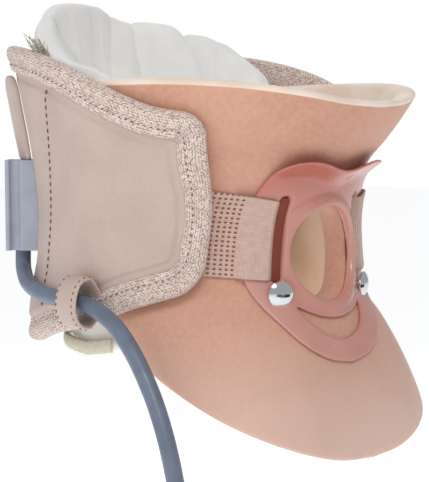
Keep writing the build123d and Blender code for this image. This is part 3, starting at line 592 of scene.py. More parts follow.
def prism(name, outline, low_y, high_y):
    """A closed upright-faced block: an (x, z) outline run between two y values."""
    count = len(outline)
    points = [(x, low_y, z) for x, z in outline] + [(x, high_y, z) for x, z in outline]
    faces = [tuple(range(count)), tuple(range(2 * count - 1, count - 1, -1))]
    faces += [(i, i + count, (i + 1) % count + count, (i + 1) % count) for i in range(count)]
    made = build(name, points, faces, surfaces["board"])
    face_outwards(made)
    return made


def trachea_outline():
    """The oval throat opening, as (x, z)."""
    turns = np.linspace(0, 2 * math.pi, 120, endpoint=False)
    return [(TRACHEA_RX * math.cos(t), TRACHEA_Z + TRACHEA_RZ * math.sin(t)) for t in turns]


def run_lengths(line):
    """The distance along a line to each of its points."""
    return np.r_[0, np.cumsum(np.linalg.norm(np.diff(line, axis=0), axis=1))]


def points_at(places, lengths, line):
    """The points of a flat line at distances along it."""
    return np.stack([np.interp(places, lengths, line[:, k]) for k in range(2)], -1)


def nearest_run(points, starts, ends):
    """Distance from each flat point to the nearest of many straight runs."""
    nearest = np.full(len(points), 1e9)
    for a, b in zip(starts, ends):
        run = b - a
        t = np.clip(((points - a) @ run) / max(run @ run, 1e-12), 0, 1)
        nearest = np.minimum(nearest, np.linalg.norm(points - a - t[:, None] * run, axis=1))
    return nearest


def step(value, low, high):
    """A smooth rise from 0 at low to 1 at high."""
    t = np.clip((value - low) / (high - low), 0, 1)
    return t * t * (3 - 2 * t)


def ridge(value, middle, width):
    """1 at the middle, fading on both sides."""
    return np.exp(-(((value - middle) / width) ** 2))


surfaces = {
    # The bare foam has a near-white copy as painted highlight and a darker copy as painted shade.
    "foam": foam_surface(), "bare_foam_painted_highlight": raw_foam_surface("bare_foam_painted_highlight", (232, 211, 193), (242, 228, 214)),
    "bare_foam_painted_shade": raw_foam_surface("bare_foam_painted_shade", (206, 170, 142), (216, 184, 158)),
    "plate": plate_surface(), "leather": leather_surface(), "binding": binding_surface(),
    "strap": strap_surface(), "cushion": cushion_surface(), "metal": metal_surface(),
    "dark_thread": thread_surface("dark_thread", (120, 84, 74)),
    "tuft_thread": thread_surface("tuft_thread", (176, 170, 142)),
    "hem": thread_surface("hem_cloth", (236, 230, 208)),
    # Painted shade: the dark red-brown of the strap's end seen in the slot.
    "strap_tail": thread_surface("strap_tail", (146, 70, 54)),
    "lining": plain_surface("lining_cloth", (205, 197, 180), (221, 214, 200), 35, (0.85,),
                            (900, 3.0, 0.0002, 0.5), Sheen_Weight=0.2),
    "hose": plain_surface("hose_rubber", (96, 106, 125), (111, 122, 142), 60, (0.36, 0.5, 150),
                          (700, 3.0, 0.00008, 0.4), Coat_Weight=0.15, Coat_Roughness=0.3),
    "connector": plain_surface("connector_plastic", (157, 163, 178), (171, 177, 190), 60, (0.32, 0.46, 200),
                               (1100, 2.0, 0.00006, 0.4)),
    "rubber": plain_surface("bulb_rubber", (78, 91, 112), (92, 106, 128), 40, (0.42, 0.6, 120),
                            (900, 3.0, 0.0001, 0.4)),
    "board": plain_surface("board_plastic", (214, 211, 201), (226, 223, 214), 50, (0.7,),
                           (600, 3.0, 0.0001, 0.4)),
    "film": plain_surface("bladder_film", (206, 196, 174), (220, 212, 192), 40, (0.35,),
                          (150, 3.0, 0.0003, 0.4)),
}

make_camera()
make_studio()


# ------------------------------------------------------------------ hose
def route_line(samples_each=12):
    """Points along the smooth NURBS line whose control points are the hose's route."""
    data = bpy.data.curves.new("route", "CURVE")
    data.dimensions, data.resolution_u = "3D", samples_each
    spline = data.splines.new("NURBS")
    spline.points.add(len(HOSE_ROUTE) - 1)
    for point, place in zip(spline.points, HOSE_ROUTE):
        point.co = (*place, 1)
    spline.order_u, spline.use_endpoint_u = 3, True
    carrier = bpy.data.objects.new("route", data)
    bpy.context.collection.objects.link(carrier)
    mesh = bpy.data.meshes.new_from_object(carrier.evaluated_get(bpy.context.evaluated_depsgraph_get()))
    line = np.array([v.co[:] for v in mesh.vertices])
    bpy.data.objects.remove(carrier)
    bpy.data.meshes.remove(mesh)
    return line


def frames_along(line):
    """Two sideways directions at each point of a line, carried along without twisting."""
    ahead = np.gradient(line, axis=0)
    ahead /= np.linalg.norm(ahead, axis=1)[:, None]
    first = np.cross(ahead[0], (1.0, 0.0, 0.0))
    first /= np.linalg.norm(first)
    firsts = [first]
    for direction in ahead[1:]:
        carried = firsts[-1] - direction * np.dot(firsts[-1], direction)
        firsts.append(carried / np.linalg.norm(carried))
    firsts = np.array(firsts)
    return firsts, np.cross(ahead, firsts)


def make_hose(line, around=24):
    """A closed round tube along a line in metres."""
    first, second = frames_along(line)
    turns = np.linspace(0, 2 * math.pi, around, endpoint=False)
    ring = np.cos(turns)[None, :, None] * first[:, None] + np.sin(turns)[None, :, None] * second[:, None]
    return closed_rings("air_hose", (line[:, None] + ring * HOSE_D / 2) / MM, surfaces["hose"])


hose_path = route_line()
hose = make_hose(hose_path)
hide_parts("hose_upper", "hose_lower")
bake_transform(hose)


# ------------------------------------------------------------------ foam shell
CREASE_ANGLE, CREASE_HEIGHT, CREASE_WIDTH = 1.12, 0.9, 0.085
CREASE_SLOPE, CREASE_SOFTNESS = 7.0, 0.03
FOAM_END_ANGLE, RIM_R = 1.80, 3.0
HOLE_HALF_ANGLE, HOLE_HALF_HEIGHT = 0.62, 34  # where the foam is thicker, round the throat opening


def foam_offset(angle, height):
    """A soft crease down each side of the apron, where the foam turns from the neck to the chest."""
    away = np.abs(angle) - CREASE_ANGLE
    fade = step(-height, 6.0, 26.0)
    bend = np.log1p(np.exp(np.clip(away / CREASE_SOFTNESS, -30, 30))) * CREASE_SOFTNESS
    return fade * (CREASE_HEIGHT * ridge(away, 0, CREASE_WIDTH) - CREASE_SLOPE * bend)


def make_foam():
    columns, rows, corner_r, corner_steps, end_angle = 241, 70, RIM_R, 7, FOAM_END_ANGLE
    around_angle = np.linspace(-end_angle, end_angle, columns)
    turned = np.degrees(np.abs(around_angle))
    top, foot = smooth_rows(TOP_RIM)(turned)[:, 0], smooth_rows(BOTTOM_RIM)(turned)[:, 0]
    # The rims lean: their inner edge is lower at the chin, and higher at the apron.
    lean_top, lean_foot = -0.10 * np.cos(around_angle), 0.50 * np.cos(around_angle)
    turn = np.linspace(0, math.pi / 2, corner_steps)
    # One cross-section as (depth from the outer face, rim it belongs to, distance from that rim).
    off_cos, off_sin = corner_r * (1 - np.cos(turn)), corner_r * (1 - np.sin(turn))
    section = [(0.0, None, t) for t in np.linspace(0, 1, rows)]
    section += [(depth, "top", drop) for depth, drop in zip(off_cos[1:], off_sin[1:])]
    section += [(FOAM_THICK - depth, "top", drop) for depth, drop in zip(off_sin, off_cos)]
    section += [(FOAM_THICK, None, t) for t in np.linspace(1, 0, rows)[1:-1]]
    section += [(FOAM_THICK - depth, "foot", rise) for depth, rise in zip(off_cos, off_sin)]
    section += [(depth, "foot", rise) for depth, rise in zip(off_sin[:-1], off_cos[:-1])]
    points = []
    for depth, rim, place in section:
        if rim == "top":
            height = top - place + lean_top * depth
        elif rim == "foot":
            height = foot + place + lean_foot * depth
        else:
            high, low = top - corner_r + lean_top * depth, foot + corner_r + lean_foot * depth
            height = low + (high - low) * place
        near_hole = np.exp(-((around_angle / HOLE_HALF_ANGLE) ** 4 + ((height - 12) / HOLE_HALF_HEIGHT) ** 4))
        inwards = depth * (1 + 0.56 * near_hole + 0.25 * step(height, 66, 84))
        points.append(on_foam(around_angle, height, foam_offset(around_angle, height) - inwards))
    grid = np.array(points)
    around = len(section)
    faces = grid_faces(around, columns, close_rows=True)
    faces += [tuple(i * columns + end for i in range(around)) for end in (0, columns - 1)]
    foam = build("foam_collar", grid.reshape(-1, 3), faces, surfaces["foam"])
    # The skin stops just below the top rim; the rim and the inside are bare foam, in a lit and a shaded copy.
    # Painted highlight: the rim and the top of the inside get a near-white copy of the bare foam.
    foam.data.materials.append(surfaces["bare_foam_painted_highlight"])
    # Painted shade: the rest of the inside gets a darker copy of the bare foam.
    foam.data.materials.append(surfaces["bare_foam_painted_shade"])
    rim_ends, inside_ends = rows + 2 * corner_steps + 8, 2 * (rows + corner_steps) - 4
    kinds = [0 if i < rows - 1 or i >= inside_ends else 1 if i < rim_ends else 2 for i in range(around)]
    foam.data.polygons.foreach_set("material_index", [*np.repeat(kinds, columns - 1).tolist(), 0, 0])
    face_outwards(foam)
    cut(foam, prism("cutter", trachea_outline(), -150, -30))
    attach(foam, "front_section")
    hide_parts("foam_shell")


# ------------------------------------------------------------------ flat patches laid on the foam's front
def inside(points, loop):
    """Which (x, z) points are inside a closed loop."""
    x, z = points[:, 0], points[:, 1]
    result = np.zeros(len(points), bool)
    for (xa, za), (xb, zb) in zip(loop, np.roll(loop, -1, axis=0)):
        crosses = (za > z) != (zb > z)
        if za != zb:
            result ^= crosses & (x < (xb - xa) * (z - za) / (zb - za) + xa)
    return result


def on_patch(points, loops):
    """Which points are inside the first loop and outside the others."""
    result = inside(points, loops[0])
    for hole in loops[1:]:
        result &= ~inside(points, hole)
    return result


def edge_distance(points, loops):
    """Distance from each point to the nearest edge of any loop."""
    return nearest_run(points, np.vstack(loops), np.vstack([np.roll(loop, -1, axis=0) for loop in loops]))


def resample(loop, spacing):
    """A closed loop with evenly spaced points."""
    closed = np.vstack([loop, loop[:1]])
    lengths = run_lengths(closed)
    count = max(12, round(lengths[-1] / spacing))
    return points_at(np.linspace(0, lengths[-1], count, endpoint=False), lengths, closed)


def patch(outline, holes, spacing=1.3, edge_spacing=0.8, steps=(0.15, 0.4, 0.8, 1.3)):
    """Points, triangles and edge distances of a flat region with holes, fine near its edges."""
    loops = [resample(loop, edge_spacing) for loop in (outline, *holes)]
    edges, start = [], 0
    for loop in loops:
        edges += [(start + i, start + (i + 1) % len(loop)) for i in range(len(loop))]
        start += len(loop)
    extra = []
    for loop in loops:
        ahead = np.roll(loop, -1, axis=0) - np.roll(loop, 1, axis=0)
        across = np.stack([-ahead[:, 1], ahead[:, 0]], 1) / np.linalg.norm(ahead, axis=1)[:, None]
        for distance in steps:
            for sign in (-1, 1):
                moved = loop + sign * distance * across
                extra.append(moved[edge_distance(moved, loops) > 0.9 * distance])
    low, high = loops[0].min(0), loops[0].max(0)
    xs, zs = np.arange(low[0], high[0], spacing), np.arange(low[1], high[1], spacing * 0.87)
    grid = np.array([(x + (j % 2) * spacing / 2, z) for j, z in enumerate(zs) for x in xs])
    extra.append(grid[edge_distance(grid, loops) > steps[-1] + 0.5 * spacing])
    extra = np.vstack(extra)
    points = np.vstack([*loops, extra[on_patch(extra, loops)]])
    out = delaunay_2d_cdt([Vector(p) for p in points], edges, [], 0, 1e-5)
    flat = np.array([v[:] for v in out[0]])
    faces = np.array([f for f in out[2] if len(f) == 3])
    return flat, faces[on_patch(flat[faces].mean(1), loops)], edge_distance(flat, loops)


def on_front(flat, off):
    """Points of the foam's front wall at (x, z), off millimetres outside it."""
    x, z = flat[:, 0], flat[:, 1]
    half_width, front, _, power = np.moveaxis(foam_oval(z), -1, 0)
    share = np.clip(np.abs(x) / half_width, 0, 0.999)
    y = front * (1 - share**power) ** (1 / power)
    nx = np.sign(x) * share ** (power - 1) / half_width
    ny = -np.abs(y / front) ** (power - 1) / -front
    size = np.hypot(nx, ny)
    return np.stack([x + off * nx / size, y + off * ny / size, z], 1)


def thick_patch(name, faces, outer, inner, surface):
    """A closed piece between two offsets of a patch."""
    count = len(outer)
    edges = {(a, b): None for face in faces for a, b in zip(face, np.roll(face, -1))}
    rim = [(a, b) for a, b in edges if (b, a) not in edges]
    all_faces = [tuple(f) for f in faces] + [tuple(f[::-1] + count) for f in faces]
    all_faces += [(b, a, a + count, b + count) for a, b in rim]
    made = build(name, np.concatenate([outer, inner]), all_faces, surface)
    face_outwards(made)
    return made


CREST_TOP, CREST_DIP, CREST_DIP_WIDTH, CREST_HALF = 54.9, 4.8, 12.5, 25


def crest_height(x):
    """The plate's top edge: it dips in the middle, under the wearer's throat."""
    return CREST_TOP - CREST_DIP * ridge(x, 0, CREST_DIP_WIDTH) - (x / CREST_HALF) ** 4


def plate_outline():
    """Right half of the plate's outline, from the top middle to the foot, as (x, z)."""
    corners = [(27.5, 52.6), (30.5, 50.2), (33.2, 45.0), (35.3, 38), (37, 25),
               (39, 3), (35.5, -9), (26, -24), (13, -32), (0, -34.5)]
    crest = [(x, crest_height(x)) for x in np.linspace(0, CREST_HALF, 14)][:-1]
    rows = np.array(crest + corners, float)
    places = run_lengths(rows)
    curve = smooth_rows(np.column_stack([places, rows]))
    half = curve(np.linspace(0, places[-1], 140))
    mirrored = half[::-1][1:-1] * (-1, 1)
    return np.vstack([half, mirrored])


def slot_outline(side):
    """The strap's slot in the plate: two half circles joined by straight sides, leaning outwards."""
    top, foot, radius = np.array((22.9, 36.6)), np.array((26.9, 3.6)), 2.3
    lean = math.atan2(top[1] - foot[1], top[0] - foot[0])
    arcs = []
    for centre, first in ((top, lean - math.pi / 2), (foot, lean + math.pi / 2)):
        turn = np.linspace(first, first + math.pi, 14)
        arcs.append(centre + radius * np.stack([np.cos(turn), np.sin(turn)], 1))
    return np.vstack(arcs) * (side, 1)


def hanging_arc(half_span, ends, lowest, count=40):
    """Points, left to right, of a circle's arc between two places at one height, with its lowest height."""
    centre = (lowest**2 - ends**2 - half_span**2) / (2 * (lowest - ends))
    radius, reach = centre - lowest, math.atan2(half_span, centre - ends)
    return [(radius * math.sin(t), centre - radius * math.cos(t)) for t in np.linspace(-reach, reach, count)]


def plate_lift(flat):
    """How far the plate's faces rise from their usual offset: the rim of the hole and the curled top."""
    x, z = flat[:, 0], flat[:, 1]
    out = np.hypot(x / TRACHEA_RX, (z - TRACHEA_Z) / TRACHEA_RZ)
    rim = 1.6 * (1 - step((out - 1) * 20, 1.6, 6.5))
    crest = crest_height(np.clip(x, -27, 27))
    curl = 6.4 * step(z, crest - 10.0, crest + 1.0) ** 1.5 * (0.35 + 0.65 * step(-np.abs(x), -34, -24))
    return rim, curl


def crown_at(distance, radius=1.3):
    """0 to 1: the rise of an edge rounded to a radius, at a distance in from the edge."""
    return np.sqrt(1 - (1 - np.clip(distance / radius, 0, 1)) ** 2)


def make_plate():
    crescent = hanging_arc(21, -9, -15.3) + hanging_arc(21, -9, -24.6)[::-1][1:-1]
    holes = [trachea_outline(), slot_outline(-1), slot_outline(1), crescent]
    flat, faces, distance = patch(plate_outline(), holes)
    rim, curl = plate_lift(flat)
    crown = crown_at(distance)
    thick = PLATE_THICK * (0.35 + 0.65 * crown) + rim * (0.45 + 0.55 * crown)
    outer = on_front(flat, PLATE_GAP + thick + curl)
    inner = on_front(flat, PLATE_GAP + curl)
    plate = thick_patch("plate", faces, outer, inner, surfaces["plate"])
    soften(plate, 0.5, 5)
    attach(plate, "front_section")
    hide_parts("front_plate")


def front_sheet(name, side, x, z, outer, inner, surface, uv):
    """A closed sheet over a grid of (x, z) places on the foam's front, between two offsets."""
    flat = np.stack([side * x.ravel(), z.ravel()], 1)
    faces = [on_front(flat, off.ravel()).reshape(*x.shape, 3) for off in (outer, inner)]
    return shell(name, *faces, surface, np.stack(uv, -1))


def make_strap(side, name, node):
    """Knitted strap with punched holes: over the plate's edge and down into the slot."""
    columns, rows = 108, 100
    share, rise = np.meshgrid(np.linspace(0, 1, columns), np.linspace(0, 1, rows))
    # The strap's end leans with the slot, 2.6 mm nearer the middle.
    slot_foot, slot_lean = 31.0, 4.0 / 37.4
    near = slot_foot - 2.6 - (STRAP_FOOT[0] - 1.4 + (STRAP_TOP[0] - STRAP_FOOT[0]) * rise) * slot_lean
    x = near + (STRAP_END_X - near) * share
    out = (x - STRAP_START_X) / (STRAP_END_X - STRAP_START_X)
    foot, top = (edge[0] + out * (edge[1] - edge[0]) for edge in (STRAP_FOOT, STRAP_TOP))
    z = foot + (top - foot) * rise
    along, across = x - near, z - foot
    over = 3.55 - 2.45 * step(x, 38.6, 42.5) - 3.6 * (1 - step(along, -0.2, 2.4))
    half = 0.7 * (0.55 + 0.45 * step(np.minimum(across, top - z), 0.0, 0.8))
    hole = np.stack([(along - HOLE_START) / HOLE_PITCH[0], (across - HOLE_MARGIN) / HOLE_PITCH[1]])
    aside = np.hypot(*((hole - np.round(hole)) * np.reshape(HOLE_PITCH, (2, 1, 1))))
    pit = np.where(np.round(hole[0]) >= 0, 1 - step(aside, 0.2, 0.65), 0.0)
    outer, inner = over + half - 0.55 * pit, over - half
    strap = front_sheet(name, side, x, z, outer, inner, surfaces["strap"], (along, across))
    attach(strap, "front_section")
    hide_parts(node)
    make_strap_tail(side, name)


def make_strap_tail(side, name):
    """The strap's folded end behind the plate, seen in the slot, coloured dark red-brown as painted shade."""
    across, upward = np.meshgrid(np.linspace(19.5, 30.5, 24), np.linspace(1.5, 38.5, 70))
    outer, inner = 0.75 + 0.12 * np.sin(upward * 5.2), np.full_like(across, 0.15)
    tail = front_sheet(
        f"{name}_tail", side, across, upward, outer, inner, surfaces["strap_tail"], (across, upward))
    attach(tail, "front_section")


# ------------------------------------------------------------------ rear cover: skin, lining and tape
SIDES = {"right": -1, "left": 1}


def edge_table():
    """The cover's top and foot heights at many angles round the collar, found once."""
    angle = np.linspace(0.5, math.pi, 500)
    top, foot = np.full_like(angle, 95.0), np.full_like(angle, -25.0)
    for _ in range(40):
        top = cover_top(on_wall(cover_oval, angle, top, 0.0, 1)[..., 1])[..., 0]
        foot = cover_foot(on_wall(cover_oval, angle, foot, 0.0, 1)[..., 1])[..., 0]
    return angle, top, foot


edge_angles, edge_tops, edge_feet = edge_table()


def cover_edges(angle):
    """Heights of the cover's top and foot at an angle round the collar."""
    return np.interp(angle, edge_angles, edge_tops), np.interp(angle, edge_angles, edge_feet)


def front_angle(height, side):
    """The angle of a wing's free front edge at a height."""
    return angle_at_y(cover_oval, cover_fronts[side](np.asarray(height, float))[..., 0], height)


FLAT_R = 84.0  # the radius that turns an angle round the collar into millimetres along the cloth
HEM_ANGLE = math.radians(124)
TOP_CORNER_REACH, FOOT_CORNER_REACH = 10.5, 13.0
TAPE_STITCH = {"length": 1.6, "gap": 1.3, "radius": 0.28}
HEM_STITCH = {"length": 2.1, "gap": 1.4, "radius": 0.34}
BOARD_EDGE = 15.2  # how far in from the outline the board's edge shows through the leatherette


def cover_loop(side, spacing=1.1):
    """One half's outline in the flat, from the centre back along the top, down the front and back: (u, z)."""
    angles = np.linspace(math.pi, 0.72, 400)
    top, foot = cover_edges(angles)
    heights = np.linspace(105, -40, 300)
    front = np.column_stack([front_angle(heights, side), heights])
    upper, lower = np.column_stack([angles, top]), np.column_stack([angles, foot])
    # Keep each edge up to where it meets the front edge.
    upper = upper[upper[:, 0] > front_angle(upper[:, 1], side)]
    lower = lower[lower[:, 0] > front_angle(lower[:, 1], side)]
    front = front[(heights < upper[-1, 1]) & (heights > lower[-1, 1])]
    line = np.vstack([upper, front, lower[::-1]]) * (FLAT_R, 1)
    line = round_corner(line, line[len(upper)], TOP_CORNER_REACH)
    line = round_corner(line, lower[-1] * (FLAT_R, 1), FOOT_CORNER_REACH)
    lengths = run_lengths(line)
    places = np.linspace(0, lengths[-1], int(lengths[-1] / spacing))
    return points_at(places, lengths, line), places


def round_corner(line, corner, reach):
    """Replaces the line within reach of a corner with a smooth turn."""
    lengths = run_lengths(line)
    middle = lengths[np.argmin(np.linalg.norm(line - corner, axis=1))]
    start, centre, end = points_at(middle + np.array([-reach, 0, reach]), lengths, line)
    first, last = start + (centre - start) * 0.56, end + (centre - end) * 0.56
    t = np.linspace(0, 1, 30)[:, None]
    turn = (1 - t) ** 3 * start + 3 * (1 - t) ** 2 * t * first + 3 * (1 - t) * t**2 * last + t**3 * end
    return np.vstack([line[lengths < middle - reach], turn, line[lengths > middle + reach]])


def inward_of(line):
    """The direction into the cloth at each point of an outline."""
    ahead = np.gradient(line, axis=0)
    ahead /= np.linalg.norm(ahead, axis=1)[:, None]
    inward = np.stack([-ahead[:, 1], ahead[:, 0]], 1)
    return inward if inward[len(line) // 2, 0] > 0 else -inward


loops = {}
for loop_side in (-1, 1):
    loop_line, loop_places = cover_loop(loop_side)
    loops[loop_side] = loop_line, loop_places, inward_of(loop_line)


# The board inside the skin swells outwards at the sides near the foot: by height, and as a share by angle.
SWELL_BY_HEIGHT = (-40, -20, -8, 2, 14), (3.9, 3.9, 3.2, 1.3, 0.0)
SWELL_BY_ANGLE = (1.5, 1.75, 2.2, 2.5, 2.9), (0, 0.9, 0.9, 0.5, 0)


def skin_offset(angle, height, distance):
    """The leatherette's relief: the board's edge showing through, a hem near the back, and soft waves."""
    board = 0.75 * step(distance, BOARD_EDGE, BOARD_EDGE + 1.4)
    board = board - 0.35 * ridge(distance, BOARD_EDGE - 0.2, 0.7)
    hem = 0.5 * ridge(angle, HEM_ANGLE - 0.015, 0.02) - 0.9 * step(angle, HEM_ANGLE, HEM_ANGLE + 0.02)
    waves = 0.35 * np.sin(angle * 5.0 + height * 0.035) * np.sin(height * 0.05 + 1.0)
    # The skin never sinks as far as the board behind it.
    swell = np.interp(height, *SWELL_BY_HEIGHT) * np.interp(angle, *SWELL_BY_ANGLE)
    least = (-0.5 + swell) * step(distance, 8.5, 13.5)
    return np.maximum((board + waves) * step(distance, 11.0, 13.0) + hem, least)


def half_cover(side, depth_low, depth_high, name, surface, relief):
    """One half of a layer of the cover, from its free front edge to the centre back."""
    columns, rows, inset = 190, 110, 4.2
    share, rise = np.meshgrid(np.linspace(0, 1, columns), np.linspace(0, 1, rows))
    angle = np.full_like(share, 2.0)
    height = np.full_like(share, 30.0)
    for _ in range(40):
        start = front_angle(height, side) + inset / FLAT_R
        angle = start + (math.pi - start) * share
        top, foot = cover_edges(angle)
        height = (foot + inset) + (top - foot - 2 * inset) * rise
    flat = np.stack([angle.ravel() * FLAT_R, height.ravel()], 1)
    distance = line_distance(flat, loops[side][0]).reshape(rows, columns)
    lift = skin_offset(angle, height, distance) if relief else np.zeros_like(angle)
    outer = on_wall(cover_oval, angle, height, lift - depth_low, side)
    inner = on_wall(cover_oval, angle, height, -depth_high + np.minimum(lift, 0) * relief, side)
    return shell(name, outer, inner, surface, np.stack([angle * FLAT_R, height], -1))


def line_distance(points, line):
    """Distance from each point to an open line, over every other point of it."""
    return nearest_run(points, line[:-1:2], line[2::2])


def bend_to_wing(piece):
    """Bakes the piece's placement into its mesh."""
    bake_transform(piece)


def binding_section():
    """The tape's puffy U as (distance in from the edge, height off the wall), and lengths round it."""
    face = [(12.3, -0.2), (12.1, 0.75), (11.3, 1.25), (10.0, 1.5), (8.6, 1.55), (7.9, 1.15), (7.3, 1.5),
            (6.4, 1.95), (4.8, 2.15), (3.2, 2.0), (1.8, 1.5), (0.75, 0.6), (0.2, -0.6), (0.0, -2.1)]
    back = [(0.2, -3.7), (0.75, -4.8), (1.8, -5.5), (3.5, -5.8), (6.0, -5.8),
            (9.0, -5.6), (11.3, -5.3), (12.1, -4.9), (12.3, -4.2)]
    inner = [(9.0, -4.25), (4.0, -4.25), (1.6, -4.0), (1.2, -2.1), (1.6, -0.2), (4.0, -0.05), (9.0, -0.05)]
    outline = np.array(face + back + inner)
    return outline, run_lengths(outline)


def make_binding(side, name):
    section, girth = binding_section()
    line, places, inward = loops[side]
    count = len(line)
    ripple = 1 + 0.05 * np.sin(places * 1.9) + 0.04 * np.sin(places * 0.55 + 1)
    points = []
    for distance, off in section:
        place = line + inward * distance
        angle = np.minimum(place[:, 0] / FLAT_R, math.pi)
        lifted = off * ripple if off > 0 else np.full(count, off)
        points.append(on_wall(cover_oval, angle, place[:, 1], lifted, side))
    uv = np.stack([np.repeat(places, len(section)), np.tile(girth, count)], 1)
    return closed_rings(name, np.array(points).transpose(1, 0, 2), surfaces["binding"], uv)


def capsules(name, starts, ends, radius, surface, outward, around=8):
    """Many short rounded threads in one mesh, each from a start to an end, bowed a little outwards."""
    points, faces = [], []
    profile = [(0.0, 0.15), (0.08, 0.7), (0.3, 1.0), (0.7, 1.0), (0.92, 0.7), (1.0, 0.15)]
    for start, end, out in zip(starts, ends, outward):
        ahead = end - start
        ahead = ahead / np.linalg.norm(ahead)
        out = out - ahead * np.dot(out, ahead)
        out = out / np.linalg.norm(out)
        across = np.cross(ahead, out)
        base = len(points)
        for share, wide in profile:
            centre = start + (end - start) * share + out * radius * (0.9 * math.sin(math.pi * share) - 0.5)
            for turn in np.linspace(0, 2 * math.pi, around, endpoint=False):
                points.append(centre + radius * wide * (math.cos(turn) * out + math.sin(turn) * across))
        faces += grid_faces(len(profile), around, close_columns=True, start=base)
        faces += [tuple(range(base, base + around)),
                  tuple(range(base + (len(profile) - 1) * around, base + len(profile) * around))]
    made = build(name, points, faces, surface)
    face_outwards(made)
    return made


def wall_stitches(name, side, place, off, surface, length, gap, radius):
    """Stitches along a (u, z) line on the cover, off millimetres outside it."""
    lengths = run_lengths(place)
    firsts = np.arange(1.0, lengths[-1] - length, length + gap)

    def on_cover(distances, more=0.0):
        turn, height = points_at(distances, lengths, place).T
        return on_wall(cover_oval, turn / FLAT_R, height, np.interp(distances, lengths, off) + more, side)

    starts = on_cover(firsts)
    return capsules(name, starts, on_cover(firsts + length), radius, surface, on_cover(firsts, 5.0) - starts)


def make_covers():
    for name, side in SIDES.items():
        skin = half_cover(side, 0.0, SKIN, f"skin_{name}", surfaces["leather"], 1.0)
        lining = half_cover(side, SKIN + 1.6, LINING_DEPTH, f"lining_cloth_{name}", surfaces["lining"], 0.0)
        tape = make_binding(side, f"tape_{name}")
        for node, piece, finish in (
            ("cover", skin, "leatherette"), ("lining", lining, "lining_fabric"),
            ("binding", tape, "edge_binding"),
        ):
            nodes = (f"{node}_{name}", f"{node}_back") if name == "right" else (f"{node}_{name}",)
            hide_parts(*nodes)
            bend_to_wing(piece)
        line, _, inward = loops[side]
        for row, distance in (("a", 8.6), ("b", 6.9)):
            threads = wall_stitches(
                f"tape_stitch_{row}_{name}", side, line + inward * distance, np.full(len(line), 1.35),
                surfaces["dark_thread"], **TAPE_STITCH)
            bend_to_wing(threads)
        # The dark dashed seam that holds the hem, near the fold line.
        heights = np.linspace(-15, 88, 120)
        seam_angle = angle_at_y(cover_oval, SEAM_Y + 3.0 - 0.14 * np.maximum(heights, 0), heights)
        flat_seam = np.column_stack([seam_angle * FLAT_R, heights])
        seam_off = skin_offset(seam_angle, heights, line_distance(flat_seam, line)) + 0.2
        seam = wall_stitches(
            f"hem_stitch_{name}", side, flat_seam, seam_off, surfaces["dark_thread"], **HEM_STITCH)
        bend_to_wing(seam)


# ------------------------------------------------------------------ air cushion
CUSHION_OVALS = [
    (-40, 57.5, -60.0, 72.5), (15, 57.0, -58.0, 69.0), (45, 57.0, -58.0, 70.5),
    (80, 60.0, -60.0, 78.0), (107, 64.0, -62.0, 84.0), (134, 59.0, -58.0, 82.0),
]
cushion_oval = smooth_rows(CUSHION_OVALS)
# Top of the sewn cover round the neck: (angle in degrees, height); the left half is the positive one.
CUSHION_TOP = [
    (-180, 129.5), (-170, 130.5), (-160, 130.5), (-151, 129.5), (-144, 126), (-138, 118), (-132, 108),
    (-124, 102), (-107, 98), (-96, 96), (-84, 91), (-72, 66), (-66, 40), (66, 40), (72, 66), (84, 93),
    (88, 96.5), (96, 102), (107, 110.5), (118, 115.3), (126, 116), (130, 117.2), (134, 120.5),
    (140, 121.8), (150, 122.8), (158, 122.0), (164, 123), (172, 126), (180, 129.5),
]
# Pinched seams: (angle at the top, degrees of lean for each millimetre down, depth).
PINCHES = [
    (-144, 0.5, 2.6), (-116, 0.0, 3.0), (-92, 0.0, 2.4), (112, 0.05, 1.4), (130, 0.42, 4.2),
    (157, 0.1, 2.6), (172, -0.15, 1.2),
]
CUSHION_ENDS = 67, 293  # degrees from the front, over the wearer's left
CUSHION_DEPTH = 10.3  # from the cushion's outer wall to the middle of its thickness
CUSHION_HALF = 9.6


def turn_noise(angle, height, seed, waves, low, high):
    """Smooth seeded noise made of upright waves round the neck that drift with height."""
    chance = random.Random(seed)
    total = np.zeros_like(angle)
    for _ in range(waves):
        pitch = chance.uniform(low, high)
        drift, phase, rise = chance.uniform(-0.05, 0.05), chance.uniform(0, 6.3), chance.uniform(0.01, 0.05)
        wave = np.sin(pitch * angle + drift * height + phase) * np.cos(rise * height + phase * 2)
        total += wave / (pitch / low) ** 0.7
    return total / waves**0.5


def cushion_bulge(degrees, height):
    """How far the cushion leans outwards at the right back corner."""
    return 8.5 * ridge(degrees, -140, 20) * step(height, 90, 118)


def signed_turn(turned):
    """Degrees from the front over the wearer's left, as -180 to 180."""
    return np.where(turned > 180, turned - 360, turned)


def cushion_top(signed):
    """Height of the sewn cover's top at an angle in degrees."""
    return np.interp(signed, *np.transpose(CUSHION_TOP))


